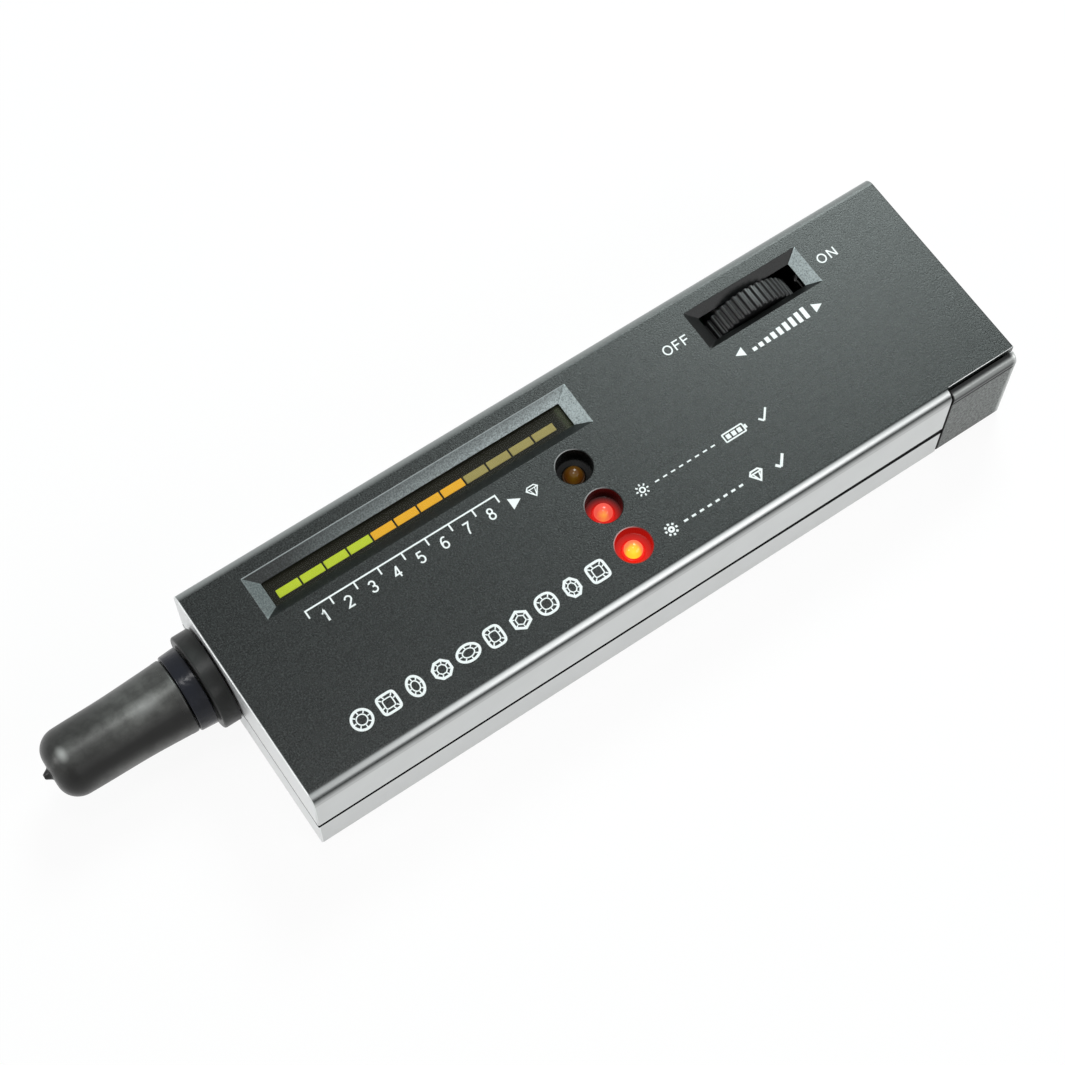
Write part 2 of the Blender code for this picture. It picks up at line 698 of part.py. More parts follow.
def top_shell_cutters():
    """Notch for the cover, both bevelled recesses, lamp wells, pilot holes and the nose hole.

    Over the cover the roof keeps its full width on the far side, and ends at its flat on the near side.
    """
    beyond = HALF_WIDTH + OVERRUN
    roof = ROOF_HALF_WIDTH
    notch = [(-beyond, -OVERRUN), (beyond, -OVERRUN), (beyond, CEILING), (-roof, CEILING)]
    notch += [(-roof, BODY_HEIGHT + OVERRUN), (-beyond, BODY_HEIGHT + OVERRUN)]
    notch_cutter = tool_from("cover_notch_cutter", prism(notch, COVER_X, REAR_X + OVERRUN, 0))
    pits = bmesh.new()
    half = DISPLAY_WIDTH / 2
    low = (FRONT_X + DISPLAY_START, DISPLAY_Y - half)
    high = (FRONT_X + DISPLAY_END, DISPLAY_Y + half)
    under = -TOP_WALL - SEAT_GAP
    add_bevelled_pit(pits, low, high, DISPLAY_BEVEL_X, DISPLAY_BEVEL_Y, RECESS_DEPTH, under)
    half = wheel_slot_half() + WHEEL_RECESS_BEVEL_Y
    middle = WHEEL_X + WHEEL_RECESS_SHIFT
    low = (middle - WHEEL_RECESS_LENGTH / 2, WHEEL_Y - half)
    high = (middle + WHEEL_RECESS_LENGTH / 2, WHEEL_Y + half)
    add_bevelled_pit(pits, low, high, WHEEL_RECESS_BEVEL_X, WHEEL_RECESS_BEVEL_Y, RECESS_DEPTH, under)
    bores = []
    for x, y, tip in lamp_tips():
        bores.append(moved(turned_up(well_profile(tip), WELL_STEPS), (x, y, 0)))
    for x, y in screw_places():
        profile = rod_profile(-OVERRUN, CEILING - SEAT_GAP, SCREW_RADIUS + BORE_PLAY)
        bores.append(moved(turned_up(profile, SCREW_STEPS), (x, y, 0)))
    return [
        notch_cutter,
        tool_from("recess_cutter", pits),
        tool_from("lamp_and_screw_bore_cutter", merged(bores)),
        tool_from("top_nose_hole_cutter", nose_hole()),
    ]


def well_profile(tip):
    """A lamp's hole through its seat, and the wider well above the seat."""
    seat = tip - LAMP_SEAT_DROP
    base = seat - LAMP_SEAT_THICKNESS - OVERRUN
    hole = LAMP_RADIUS + SEAT_GAP
    top = BODY_HEIGHT + OVERRUN
    return [(base, 0), (base, hole), (seat, hole), (seat, WELL_RADIUS), (top, WELL_RADIUS), (top, 0)]


def nose_hole():
    profile = rod_profile(-OVERRUN, FRONT_WALL + OVERRUN, BARREL_RADIUS + BORE_PLAY)
    return moved(turned(profile, BARREL_STEPS), (FRONT_X, NOSE_Y, NOSE_HEIGHT))


def ceiling_columns():
    """The screw bosses and the cups of the lamp wells, which hang from the ceiling."""
    root = CEILING + TOP_WALL / 2
    bosses = []
    for x, y in screw_places():
        profile = rod_profile(BOARD_TOP + SEAT_GAP, root, TOP_BOSS_RADIUS)
        bosses.append(moved(turned_up(profile, PART_STEPS), (x, y, 0)))
    columns = [tool_from("ceiling_bosses", merged(bosses))]
    for number, (x, y, tip) in enumerate(lamp_tips(), 1):
        base = tip - LAMP_SEAT_DROP - LAMP_SEAT_THICKNESS
        cup = moved(turned_up(rod_profile(base, root, WELL_RADIUS + WELL_WALL), WELL_STEPS), (x, y, 0))
        columns.append(tool_from(f"lamp_well_cup_{number}", cup))
    return columns


def window_rim():
    """A low wall round the window, fused to the ceiling."""
    low, high = window_edges()
    inner = SEAT_GAP
    outer = SEAT_GAP + WINDOW_RIM
    base = WINDOW_BASE + WINDOW_RIM_DROP
    root = CEILING + TOP_WALL / 2
    outside = tool_from(
        "window_rim_wall",
        block((low[0] - outer, low[1] - outer, base), (high[0] + outer, high[1] + outer, root)),
    )
    inside = tool_from(
        "window_rim_cutter",
        block((low[0] - inner, low[1] - inner, base - OVERRUN), (high[0] + inner, high[1] + inner, CEILING)),
    )
    return outside, inside


def partition_block(low, high):
    return block((COVER_X - PARTITION_START, PARTITION_NEAR, low), (COVER_X, PARTITION_FAR, high))


def make_top_shell():
    outline = shell_outline(SEAM_HEIGHT + SEAT_GAP / 2, BODY_HEIGHT, CEILING, True)
    shell = node_from("top_shell", prism(outline, FRONT_X, REAR_X, 0), "case")
    front = block(
        (FRONT_X, -INNER_HALF_WIDTH - SIDE_WALL / 2, SEAM_HEIGHT + SEAT_GAP / 2),
        (FRONT_X + FRONT_WALL, INNER_HALF_WIDTH + SIDE_WALL / 2, CEILING + TOP_WALL / 2),
    )
    divider = partition_block(SEAM_HEIGHT + SEAT_GAP / 2, CEILING + TOP_WALL / 2 - RECESS_DEPTH / 2)
    rim, rim_cutter = window_rim()
    added = [tool_from("top_front_wall", front), tool_from("top_partition", divider), rim]
    combine_group(shell, added + ceiling_columns(), "UNION")
    combine_group(shell, [rim_cutter] + top_shell_cutters(), "DIFFERENCE")
    return shell


def side_lip(side):
    """L-shaped tongue inside the seam, from the wall up past the top shell's lower edge."""
    top = BOARD_HEIGHT - SEAT_GAP - MOULD_FIT
    outer = INNER_HALF_WIDTH - SEAT_GAP
    inner = outer - LIP_THICKNESS
    wall = INNER_HALF_WIDTH + SIDE_WALL / 2
    foot_top = SEAM_HEIGHT - SEAT_GAP
    foot = foot_top - LIP_FOOT
    points = ((inner, foot), (wall, foot), (wall, foot_top), (outer, foot_top), (outer, top), (inner, top))
    outline = [(side * y, z) for y, z in points]
    start = FRONT_X + BOSS_FRONT + BOSS_RADIUS + SEAT_GAP
    end = FRONT_X + BOSS_REAR - BOSS_RADIUS - SEAT_GAP
    return prism(outline, start, end, 0)


def floor_ribs():
    start = FRONT_X + BOSS_FRONT
    span = BOSS_REAR - BOSS_FRONT
    shapes = []
    for share in FLOOR_RIB_SHARES:
        x = start + span * share
        low = (x - FLOOR_RIB / 2, -INNER_HALF_WIDTH - SIDE_WALL / 2, FLOOR_WALL / 2)
        high = (x + FLOOR_RIB / 2, INNER_HALF_WIDTH + SIDE_WALL / 2, FLOOR_WALL + FLOOR_RIB_HEIGHT)
        shapes.append(block(low, high))
    return shapes


def battery_stops():
    """Two ribs that catch the battery's front corners, one on the wall and one on the partition."""
    start = FRONT_X + BATTERY_START - SEAT_GAP - STOP_RIB_LENGTH
    end = start + STOP_RIB_LENGTH
    top = SEAM_HEIGHT - SEAT_GAP
    near = (
        (start, -INNER_HALF_WIDTH - SIDE_WALL / 2, FLOOR_WALL / 2),
        (end, BATTERY_NEAR + STOP_RIB_REACH, top),
    )
    far = (
        (start, BATTERY_FAR - STOP_RIB_REACH, FLOOR_WALL / 2),
        (end, PARTITION_NEAR + PARTITION / 2, top),
    )
    return [block(*near), block(*far)]


def control_cradle():
    """Solid seat under the rotary control, against the far wall."""
    low = (WHEEL_X - CONTROL_SIZE / 2 + CRADLE_INSET, CONTROL_NEAR + CRADLE_INSET / 2, FLOOR_WALL / 2)
    high = (
        WHEEL_X + CONTROL_SIZE / 2 - CRADLE_INSET,
        INNER_HALF_WIDTH + SIDE_WALL / 2,
        WHEEL_Z - CONTROL_SIZE / 2 - SEAT_GAP,
    )
    return block(low, high)


def make_bottom_shell():
    top = SEAM_HEIGHT - SEAT_GAP / 2
    outline = shell_outline(0, top, FLOOR_WALL, False)
    shell = node_from("bottom_shell", prism(outline, FRONT_X, COVER_X, 0), "case")
    front = block(
        (FRONT_X, -INNER_HALF_WIDTH - SIDE_WALL / 2, FLOOR_WALL / 2),
        (FRONT_X + FRONT_WALL, INNER_HALF_WIDTH + SIDE_WALL / 2, top),
    )
    divider = partition_block(FLOOR_WALL / 2, top)
    bosses = []
    bores = []
    seat = SCREW_HEAD_SINK + SCREW_HEAD + SEAT_GAP
    for x, y in screw_places():
        column = rod_profile(FLOOR_WALL / 2, BOARD_HEIGHT - SEAT_GAP, BOSS_RADIUS)
        bosses.append(moved(turned_up(column, PART_STEPS), (x, y, 0)))
        head = SCREW_HEAD_RADIUS + BORE_PLAY
        shank = SCREW_RADIUS + BORE_PLAY
        bore = [(-OVERRUN, 0), (-OVERRUN, head), (seat, head), (seat, shank)]
        bore += [(BOARD_HEIGHT + OVERRUN, shank), (BOARD_HEIGHT + OVERRUN, 0)]
        bores.append(moved(turned_up(bore, SCREW_STEPS), (x, y, 0)))
    added = [
        tool_from("bottom_front_wall", front),
        tool_from("bottom_partition", divider),
        tool_from("floor_ribs", merged(floor_ribs())),
        tool_from("battery_stops", merged(battery_stops())),
        tool_from("control_cradle", control_cradle()),
        tool_from("seam_lips", merged([side_lip(-1), side_lip(1)])),
        tool_from("floor_bosses", merged(bosses)),
    ]
    combine_group(shell, added, "UNION")
    holes = [tool_from("screw_bore_cutter", merged(bores)), tool_from("bottom_nose_hole_cutter", nose_hole())]
    combine_group(shell, holes, "DIFFERENCE")
    return shell


def guide_tongue(side):
    """L-shaped tongue that runs forwards inside the housing's wall, from a root in the cover's wall."""
    outer = INNER_HALF_WIDTH - TONGUE_PLAY
    inner = outer - TONGUE_THICKNESS
    wall = HALF_WIDTH - COVER_WALL / 2
    points = ((-TONGUE_LENGTH, inner), (COVER_WALL, inner), (COVER_WALL, wall), (TONGUE_ROOT, wall))
    points += ((TONGUE_ROOT, outer), (-TONGUE_LENGTH, outer))
    outline = [(x, side * y) for x, y in points]
    base = BATTERY_MIDDLE_Z - TONGUE_HEIGHT / 2
    return prism(outline, base, base + TONGUE_HEIGHT, 2)


def make_battery_cover():
    """U-shaped end cap: two walls, a floor, a rear wall and two guide tongues.

    The near wall ends in a rounded rail beside the roof, and the far wall stops under the roof.
    """
    anchor = bpy.data.objects.new("cover_slide", None)
    anchor.location = (COVER_X, 0, 0)
    bpy.context.scene.collection.objects.link(anchor)
    start = SEAT_GAP
    end = COVER_LENGTH
    roof_gap = CEILING - SEAT_GAP
    rail_top = BODY_HEIGHT - COVER_RAIL_DROP
    rail_base = rail_top - COVER_RAIL_HEIGHT
    rail_inner = ROOF_HALF_WIDTH + SEAT_GAP
    panel = HALF_WIDTH - COVER_PANEL_INSET
    centre = HALF_WIDTH - EDGE_FILLET
    level = rail_top - EDGE_FILLET
    near_turn = math.acos((rail_inner - centre) / EDGE_FILLET) / (math.pi / 2)
    far_turn = math.asin((roof_gap - level) / EDGE_FILLET) / (math.pi / 2)
    wall = [(HALF_WIDTH, rail_base), (panel, rail_base - COVER_PANEL_INSET)]
    wall += reversed(arc((panel - BOTTOM_FILLET, BOTTOM_FILLET), BOTTOM_FILLET, -1, 0))
    far = arc((centre, level), EDGE_FILLET, far_turn, 0) + wall
    near = [(rail_inner, roof_gap)] + arc((centre, level), EDGE_FILLET, near_turn, 0) + wall
    outline = far + [(-y, z) for y, z in reversed(near)]
    cover = node_from("battery_cover", prism(outline, start, end, 0), "cover", parent=anchor)
    hollow = block(
        (-OVERRUN, -HALF_WIDTH + COVER_WALL, FLOOR_WALL),
        (end - COVER_WALL, HALF_WIDTH - COVER_WALL, BODY_HEIGHT + OVERRUN),
    )
    cut(cover, tool_from("cover_hollow_cutter", hollow, parent=anchor))
    tongues = merged([guide_tongue(-1), guide_tongue(1)])
    join(cover, tool_from("guide_tongues", tongues, parent=anchor))
    return cover


def make_window():
    low, high = window_edges()
    shape = block((*low, WINDOW_BASE), (*high, WINDOW_TOP))
    return node_from("display_window", shape, "window")


def bar_start(index):
    return BARS_START_X + index * BAR_PITCH


def make_bars():
    """The frame with one socket for each light bar, and the bars."""
    half = BAR_WIDTH / 2 + FRAME_MARGIN
    low = (bar_start(0) - FRAME_END_MARGIN, DISPLAY_Y - half, FRAME_BASE)
    high = (bar_start(BAR_COUNT) + FRAME_END_MARGIN, DISPLAY_Y + half, FRAME_TOP)
    frame = node_from("bargraph_frame", block(low, high), "frame")
    sockets = bmesh.new()
    play = BAR_SOCKET_PLAY
    for index in range(BAR_COUNT):
        start = bar_start(index)
        near = DISPLAY_Y - BAR_WIDTH / 2
        low = (start, near, FRAME_TOP - BAR_HEIGHT)
        high = (start + BAR_LENGTH, near + BAR_WIDTH, FRAME_TOP)
        finish = "green" if index < LIT_GREEN else "unlit"
        if LIT_GREEN <= index < LIT_GREEN + LIT_ORANGE:
            finish = "orange"
        node_from(f"bar_segment_{index + 1:02d}", block(low, high), finish)
        add_block(
            sockets,
            (low[0] - play, low[1] - play, low[2] - SEAT_GAP),
            (high[0] + play, high[1] + play, high[2] + OVERRUN),
        )
    cut(frame, tool_from("bar_socket_cutter", sockets))


def lamp_profile(tip):
    """A round-headed lamp with its flange, from the flange's foot up to the tip."""
    foot = tip - LAMP_BODY - LAMP_FLANGE
    profile = [(foot, 0), (foot, LAMP_FLANGE_RADIUS), (foot + LAMP_FLANGE, LAMP_FLANGE_RADIUS)]
    profile += [(foot + LAMP_FLANGE, LAMP_RADIUS)]
    profile += arc((tip - LAMP_RADIUS, 0), LAMP_RADIUS, 1, 0)
    return profile


def make_lamps():
    names = ("lamp_diamond", "lamp_battery", "lamp_ready")
    finishes = ("amber", "red", "red")
    for name, finish, (x, y, tip) in zip(names, finishes, lamp_tips()):
        lamp = node_from(
            name, moved(turned_up(lamp_profile(tip), LAMP_STEPS), (x, y, 0)), finish, smooth=True
        )
        foot = tip - LAMP_BODY - LAMP_FLANGE
        legs = bmesh.new()
        for side in (-1, 1):
            middle = y + side * LAMP_LEG_SPACING
            add_block(
                legs,
                (x - LAMP_LEG / 2, middle - LAMP_LEG / 2, BOARD_TOP + SEAT_GAP),
                (x + LAMP_LEG / 2, middle + LAMP_LEG / 2, foot + LAMP_FLANGE / 2),
            )
        join(lamp, tool_from(f"{name}_legs", legs))


def knurled_outline():
    """Outline of the wheel's rim: flat-topped teeth, each with four points."""
    points = []
    step = 2 * math.pi / WHEEL_TEETH
    root = WHEEL_RADIUS - TOOTH_DEPTH
    for tooth in range(WHEEL_TEETH):
        middle = tooth * step
        top = step * TOOTH_TOP_SHARE / 2
        foot = step * (1 - TOOTH_ROOT_SHARE) / 2
        for turn, radius in ((-foot, root), (-top, WHEEL_RADIUS), (top, WHEEL_RADIUS), (foot, root)):
            points.append((radius * math.cos(middle + turn), radius * math.sin(middle + turn)))
    return points


def make_thumbwheel():
    axle = bpy.data.objects.new("wheel_axle", None)
    axle.location = (WHEEL_X, WHEEL_Y, WHEEL_Z)
    bpy.context.scene.collection.objects.link(axle)
    half = WHEEL_THICKNESS / 2
    shape = bmesh.new()
    rim = knurled_outline()
    narrow = (WHEEL_RADIUS - TOOTH_DEPTH - WHEEL_EDGE) / (WHEEL_RADIUS - TOOTH_DEPTH)
    levels = ((-half, narrow), (-half + WHEEL_EDGE, 1), (half - WHEEL_EDGE, 1), (half, narrow))
    rings = []
    for level, share in levels:
        rings.append([shape.verts.new((x * share, level, z * share)) for x, z in rim])
    for first, second in zip(rings, rings[1:]):
        for index in range(len(first)):
            after = (index + 1) % len(first)
            shape.faces.new((first[index], first[after], second[after], second[index]))
    shape.faces.new(rings[0])
    shape.faces.new(rings[-1])
    wheel = node_from("thumbwheel", shape, "rubber", parent=axle)
    bore = SHAFT_RADIUS + BORE_PLAY
    dish = half - WHEEL_DISH_DEPTH
    profile = [(-half - OVERRUN, 0), (-half - OVERRUN, WHEEL_DISH_RADIUS), (-dish, WHEEL_DISH_RADIUS)]
    profile += [(-dish, bore), (dish, bore), (dish, WHEEL_DISH_RADIUS)]
    profile += [(half + OVERRUN, WHEEL_DISH_RADIUS), (half + OVERRUN, 0)]
    cut(wheel, tool_from("wheel_bore_cutter", turned_across(profile, SHAFT_STEPS), parent=axle))
    head = -dish - SEAT_GAP
    end = half + WHEEL_SLOT_PLAY + CONTROL_DEPTH - SHAFT_HEAD - SHAFT_HEAD
    profile = [(head - SHAFT_HEAD, 0), (head - SHAFT_HEAD, SHAFT_HEAD_RADIUS), (head, SHAFT_HEAD_RADIUS)]
    profile += [(head, SHAFT_RADIUS), (end, SHAFT_RADIUS), (end, 0)]
    node_from("wheel_shaft", turned_across(profile, SHAFT_STEPS), "steel", parent=axle, smooth=True)


def make_volume_control():
    low = (WHEEL_X - CONTROL_SIZE / 2, CONTROL_NEAR, WHEEL_Z - CONTROL_SIZE / 2)
    high = (WHEEL_X + CONTROL_SIZE / 2, CONTROL_FAR, WHEEL_Z + CONTROL_SIZE / 2)
    body = node_from("volume_control", rounded_block(low, high, CONTROL_CORNER, 1), "chip")
    profile = rod_profile(-OVERRUN, CONTROL_DEPTH - SHAFT_HEAD, SHAFT_RADIUS + BORE_PLAY)
    shape = moved(turned_across(profile, SHAFT_STEPS), (WHEEL_X, CONTROL_NEAR, WHEEL_Z))
    cut(body, tool_from("control_bore_cutter", shape))


def make_board():
    """L-shaped board: notched round the barrel, with an arm that reaches back to the rotary control."""
    front = BOARD_START_X
    end = FRONT_X + BOARD_END
    notch_y = NOSE_Y - BARREL_FLANGE_RADIUS - BOARD_NOTCH_GAP
    notch_x = FRONT_X + BARREL_REAR + PLUG_FLANGE + BOARD_FRONT_GAP
    arm_end = WHEEL_X - CONTROL_SIZE / 2 - SEAT_GAP
    outline = [(front, BOARD_NEAR), (end, BOARD_NEAR), (end, CONTROL_NEAR), (arm_end, CONTROL_NEAR)]
    outline += [(arm_end, BOARD_FAR), (notch_x, BOARD_FAR), (notch_x, notch_y), (front, notch_y)]
    board = node_from("circuit_board", prism(outline, BOARD_HEIGHT, BOARD_TOP, 2), "board")
    holes = []
    for x, y in screw_places():
        profile = rod_profile(BOARD_HEIGHT - OVERRUN, BOARD_TOP + OVERRUN, SCREW_RADIUS + BOARD_HOLE_PLAY)
        holes.append(moved(turned_up(profile, SCREW_STEPS), (x, y, 0)))
    cut(board, tool_from("board_hole_cutter", merged(holes)))


def make_chip(name, x, pins):
    """A chip with its legs bent down on both sides."""
    seat = BOARD_TOP + SEAT_GAP
    y = CHIP_ROW_Y
    count = pins // 2
    length = count * PIN_PITCH
    low = (x, y - CHIP_WIDTH / 2, seat + CHIP_STANDOFF)
    high = (x + length, y + CHIP_WIDTH / 2, seat + CHIP_HEIGHT)
    shape = block(low, high)
    top = [e for e in shape.edges if min(v.co.z for v in e.verts) > high[2] - WELD]
    bmesh.ops.bevel(shape, geom=top, offset=CHIP_CHAMFER, segments=1, affect="EDGES")
    chip = node_from(name, shape, "chip")
    shoulder = seat + (CHIP_STANDOFF + CHIP_HEIGHT) / 2
    outer = CHIP_WIDTH / 2 + PIN_REACH
    inner = CHIP_WIDTH / 2 - PIN_REACH
    thick = PIN_THICKNESS
    leg = [(inner, shoulder), (inner, shoulder - thick), (outer - thick, shoulder - thick)]
    leg += [(outer - thick, seat), (outer, seat), (outer, shoulder)]
    legs = bmesh.new()
    for index in range(count):
        middle = x + (index + 1 / 2) * PIN_PITCH
        for way in (-1, 1):
            outline = [(y + way * across, z) for across, z in leg]
            add_prism(legs, outline, middle - PIN_WIDTH / 2, middle + PIN_WIDTH / 2, 0)
    join(chip, tool_from(f"{name}_legs", legs))


def make_round_parts():
    """The two capacitors and the buzzer, which stand on the board."""
    seat = BOARD_TOP + SEAT_GAP
    top = seat + CAPACITOR_HEIGHT
    waist = CAPACITOR_RADIUS - CAPACITOR_CRIMP
    crimp_start = seat + CAPACITOR_CRIMP_START
    crimp_end = seat + CAPACITOR_CRIMP_END
    profile = [(seat, 0), (seat, CAPACITOR_RADIUS), (crimp_start, CAPACITOR_RADIUS)]
    profile += [((crimp_start + crimp_end) / 2, waist), (crimp_end, CAPACITOR_RADIUS)]
    profile += [(top - CAPACITOR_CRIMP, CAPACITOR_RADIUS), (top, waist), (top, 0)]
    for index in range(CAPACITOR_COUNT):
        x = BOARD_START_X + CAPACITOR_START + index * CAPACITOR_SPACING
        shape = moved(turned_up(profile, PART_STEPS), (x, BOARD_NEAR + CAPACITOR_SIDE, 0))
        node_from(f"capacitor_{index + 1}", shape, "capacitor", smooth=True)
    top = seat + BUZZER_HEIGHT
    profile = [(seat, 0), (seat, BUZZER_RADIUS), (top - BUZZER_EDGE, BUZZER_RADIUS)]
    profile += [(top, BUZZER_RADIUS - BUZZER_EDGE), (top, BUZZER_PORT_RADIUS)]
    profile += [(top - BUZZER_PORT_DEPTH, BUZZER_PORT_RADIUS), (top - BUZZER_PORT_DEPTH, 0)]
    place = (BOARD_START_X + BUZZER_START, BUZZER_Y, 0)
    node_from("buzzer", moved(turned_up(profile, PART_STEPS), place), "chip", smooth=True)


def terminal_sides():
    return (
        (BATTERY_MIDDLE_Y - TERMINAL_SPACING / 2, MALE_TERMINAL_RADIUS),
        (BATTERY_MIDDLE_Y + TERMINAL_SPACING / 2, FEMALE_TERMINAL_RADIUS),
    )


def make_battery():
    low = (FRONT_X + BATTERY_START, BATTERY_NEAR, BATTERY_BASE)
    high = (FRONT_X + BATTERY_END, BATTERY_FAR, BATTERY_BASE + BATTERY_HEIGHT)
    battery = node_from("battery", rounded_block(low, high, BATTERY_CORNER, 0), "battery")
    studs = []
    face = FRONT_X + BATTERY_START
    for y, radius in terminal_sides():
        profile = rod_profile(-TERMINAL_LENGTH, TERMINAL_LENGTH, radius)
        studs.append(moved(turned(profile, TERMINAL_STEPS), (face, y, BATTERY_MIDDLE_Z)))
    join(battery, tool_from("battery_terminals", merged(studs)))


def make_snap():
    """Connector plate on the battery's front face, with a socket for each terminal."""
    low = (FRONT_X + SNAP_START, BATTERY_NEAR + SNAP_SIDE_INSET, BATTERY_MIDDLE_Z - SNAP_HEIGHT / 2)
    high = (
        FRONT_X + SNAP_START + SNAP_THICKNESS,
        BATTERY_FAR - SNAP_SIDE_INSET,
        BATTERY_MIDDLE_Z + SNAP_HEIGHT / 2,
    )
    snap = node_from("battery_snap", rounded_block(low, high, SNAP_CORNER, 0), "rubber")
    sockets = []
    for y, radius in terminal_sides():
        profile = rod_profile(-TERMINAL_LENGTH - SEAT_GAP, OVERRUN, radius + BORE_PLAY)
        sockets.append(
            moved(turned(profile, TERMINAL_STEPS), (FRONT_X + BATTERY_START, y, BATTERY_MIDDLE_Z))
        )
    cut(snap, tool_from("snap_socket_cutter", merged(sockets)))
    for name, side in (("red", -1), ("black", 1)):
        y = BATTERY_MIDDLE_Y + side * LEAD_SPACING / 2
        start = (FRONT_X + SNAP_START - SEAT_GAP, y, BOARD_TOP + SEAT_GAP + LEAD_RISE)
        end = (start[0] - LEAD_REACH, y, BOARD_TOP + SEAT_GAP)
        route = smooth_path(start, (-LEAD_REACH, 0, 0), end, (0, 0, -LEAD_REACH), LEAD_POINTS)
        tube(f"battery_lead_{name}", route, LEAD_RADIUS, f"lead_{name}", 2)


def make_screws():
    seat = SCREW_HEAD_SINK + SCREW_HEAD
    end = SCREW_HEAD_SINK + SCREW_LENGTH
    crown = SCREW_HEAD_RADIUS - SCREW_TIP
    profile = [(SCREW_HEAD_SINK, 0), (SCREW_HEAD_SINK, crown)]
    profile += [(SCREW_HEAD_SINK + SCREW_TIP, SCREW_HEAD_RADIUS), (seat, SCREW_HEAD_RADIUS)]
    profile += [(seat, SCREW_RADIUS), (end - SCREW_RADIUS, SCREW_RADIUS), (end, 0)]
    for number, (x, y) in enumerate(screw_places(), 1):
        shape = turned_up(profile, SCREW_STEPS)
        node_from(f"housing_screw_{number}", shape, "steel", (x, y, 0), smooth=True)


def nose_axis():
    axis = bpy.data.objects.new("nose_axis", None)
    axis.location = (FRONT_X, NOSE_Y, NOSE_HEIGHT)
    bpy.context.scene.collection.objects.link(axis)
    return axis


def make_rings(axis):
    """The two stepped rings between the housing and the cap, slipped over the barrel."""
    inner = BARREL_RADIUS + BORE_PLAY
    edge = COLLAR_EDGE
    collar = [(-SEAT_GAP, inner), (-SEAT_GAP, COLLAR_RADIUS), (-COLLAR_FRONT + edge, COLLAR_RADIUS)]
    collar += [(-COLLAR_FRONT, COLLAR_RADIUS - edge), (-COLLAR_FRONT, inner)]
    node_from("nose_collar", turned(collar, NOSE_STEPS, True), "collar", parent=axis, smooth=True)
    edge = RING_EDGE
    slim = RING_RADIUS - RING_TAPER
    ring = [(-RING_BACK, inner), (-RING_BACK, RING_RADIUS), (-RING_FRONT + edge, slim)]
    ring += [(-RING_FRONT, slim - edge), (-RING_FRONT, inner)]
    node_from("nose_ring", turned(ring, NOSE_STEPS, True), "ring", parent=axis, smooth=True)


def make_barrel(axis):
    """The probe holder: flange behind the front wall, grip for the cap, cone, and a bore for the rod."""
    guide = ROD_RADIUS + BORE_PLAY
    flange_front = FRONT_WALL + SEAT_GAP
    flange_back = flange_front + BARREL_FLANGE
    profile = [(BARREL_REAR, CHAMBER_RADIUS), (BARREL_REAR, BARREL_RADIUS), (flange_back, BARREL_RADIUS)]
    profile += [(flange_back, BARREL_FLANGE_RADIUS), (flange_front, BARREL_FLANGE_RADIUS)]
    profile += [(flange_front, BARREL_RADIUS), (-GRIP_START, BARREL_RADIUS), (-GRIP_START, GRIP_RADIUS)]
    profile += [(-GRIP_END, GRIP_RADIUS), (-BARREL_FRONT, CONE_END_RADIUS), (-BARREL_FRONT, guide)]
    profile += [(-CHAMBER_FRONT, guide), (-CHAMBER_FRONT, CHAMBER_RADIUS)]
    node_from("probe_barrel", turned(profile, BARREL_STEPS, True), "barrel", parent=axis, smooth=True)
    plug = CHAMBER_RADIUS - BORE_PLAY
    flange = BARREL_REAR + SEAT_GAP
    profile = [(-PLUG_FRONT, 0), (-PLUG_FRONT, plug), (flange, plug), (flange, BARREL_RADIUS)]
    profile += [(flange + PLUG_FLANGE, BARREL_RADIUS), (flange + PLUG_FLANGE, 0)]
    node_from("probe_contact_block", turned(profile, BARREL_STEPS), "board", parent=axis, smooth=True)


def make_probe(axis):
    """The copper tip, the rod that carries it and the spring behind the rod's stop."""
    socket = TIP_RADIUS + BORE_PLAY
    depth = TIP_SHANK + SEAT_GAP
    profile = [(-ROD_FRONT + depth, 0), (-ROD_FRONT + depth, socket), (-ROD_FRONT, socket)]
    profile += [(-ROD_FRONT, ROD_RADIUS), (-STOP_FRONT, ROD_RADIUS), (-STOP_FRONT, ROD_STOP_RADIUS)]
    profile += [(-STOP_BACK, ROD_STOP_RADIUS), (-STOP_BACK, ROD_TAIL_RADIUS)]
    profile += [(-ROD_BACK, ROD_TAIL_RADIUS), (-ROD_BACK, 0)]
    node_from("probe_rod", turned(profile, ROD_STEPS), "barrel", parent=axis, smooth=True)
    shank = -ROD_FRONT + TIP_SHANK
    profile = [(shank, 0), (shank, TIP_RADIUS), (-TIP_FRONT + TIP_POINT, TIP_RADIUS)]
    profile += arc_tip(-TIP_FRONT, TIP_END_RADIUS)
    node_from("probe_tip", turned(profile, ROD_STEPS), "copper", parent=axis, smooth=True)
    make_spring(axis)


def arc_tip(end, radius):
    """Rounded end of a point that faces -X."""
    return [(end + radius - (x - end), y) for x, y in arc((end, 0), radius, 1, 0)]


def make_spring(axis):
    """A helix of one wire: its place along the axis grows evenly with the turn."""
    start = -STOP_BACK + SEAT_GAP + SPRING_WIRE_RADIUS
    end = -PLUG_FRONT - SEAT_GAP - SPRING_WIRE_RADIUS
    count = SPRING_TURNS * SPRING_POINTS_A_TURN
    points = []
    for step in range(count + 1):
        turn = 2 * math.pi * step / SPRING_POINTS_A_TURN
        along = start + (end - start) * step / count
        points.append((along, SPRING_RADIUS * math.cos(turn), SPRING_RADIUS * math.sin(turn)))
    least = least_gap(points, SPRING_WIRE_RADIUS, SPRING_POINTS_A_TURN)
    print(f"probe_spring: least gap to itself {least * 1000:.2f} mm")
    tube("probe_spring", points, SPRING_WIRE_RADIUS, "steel", 1, parent=axis)


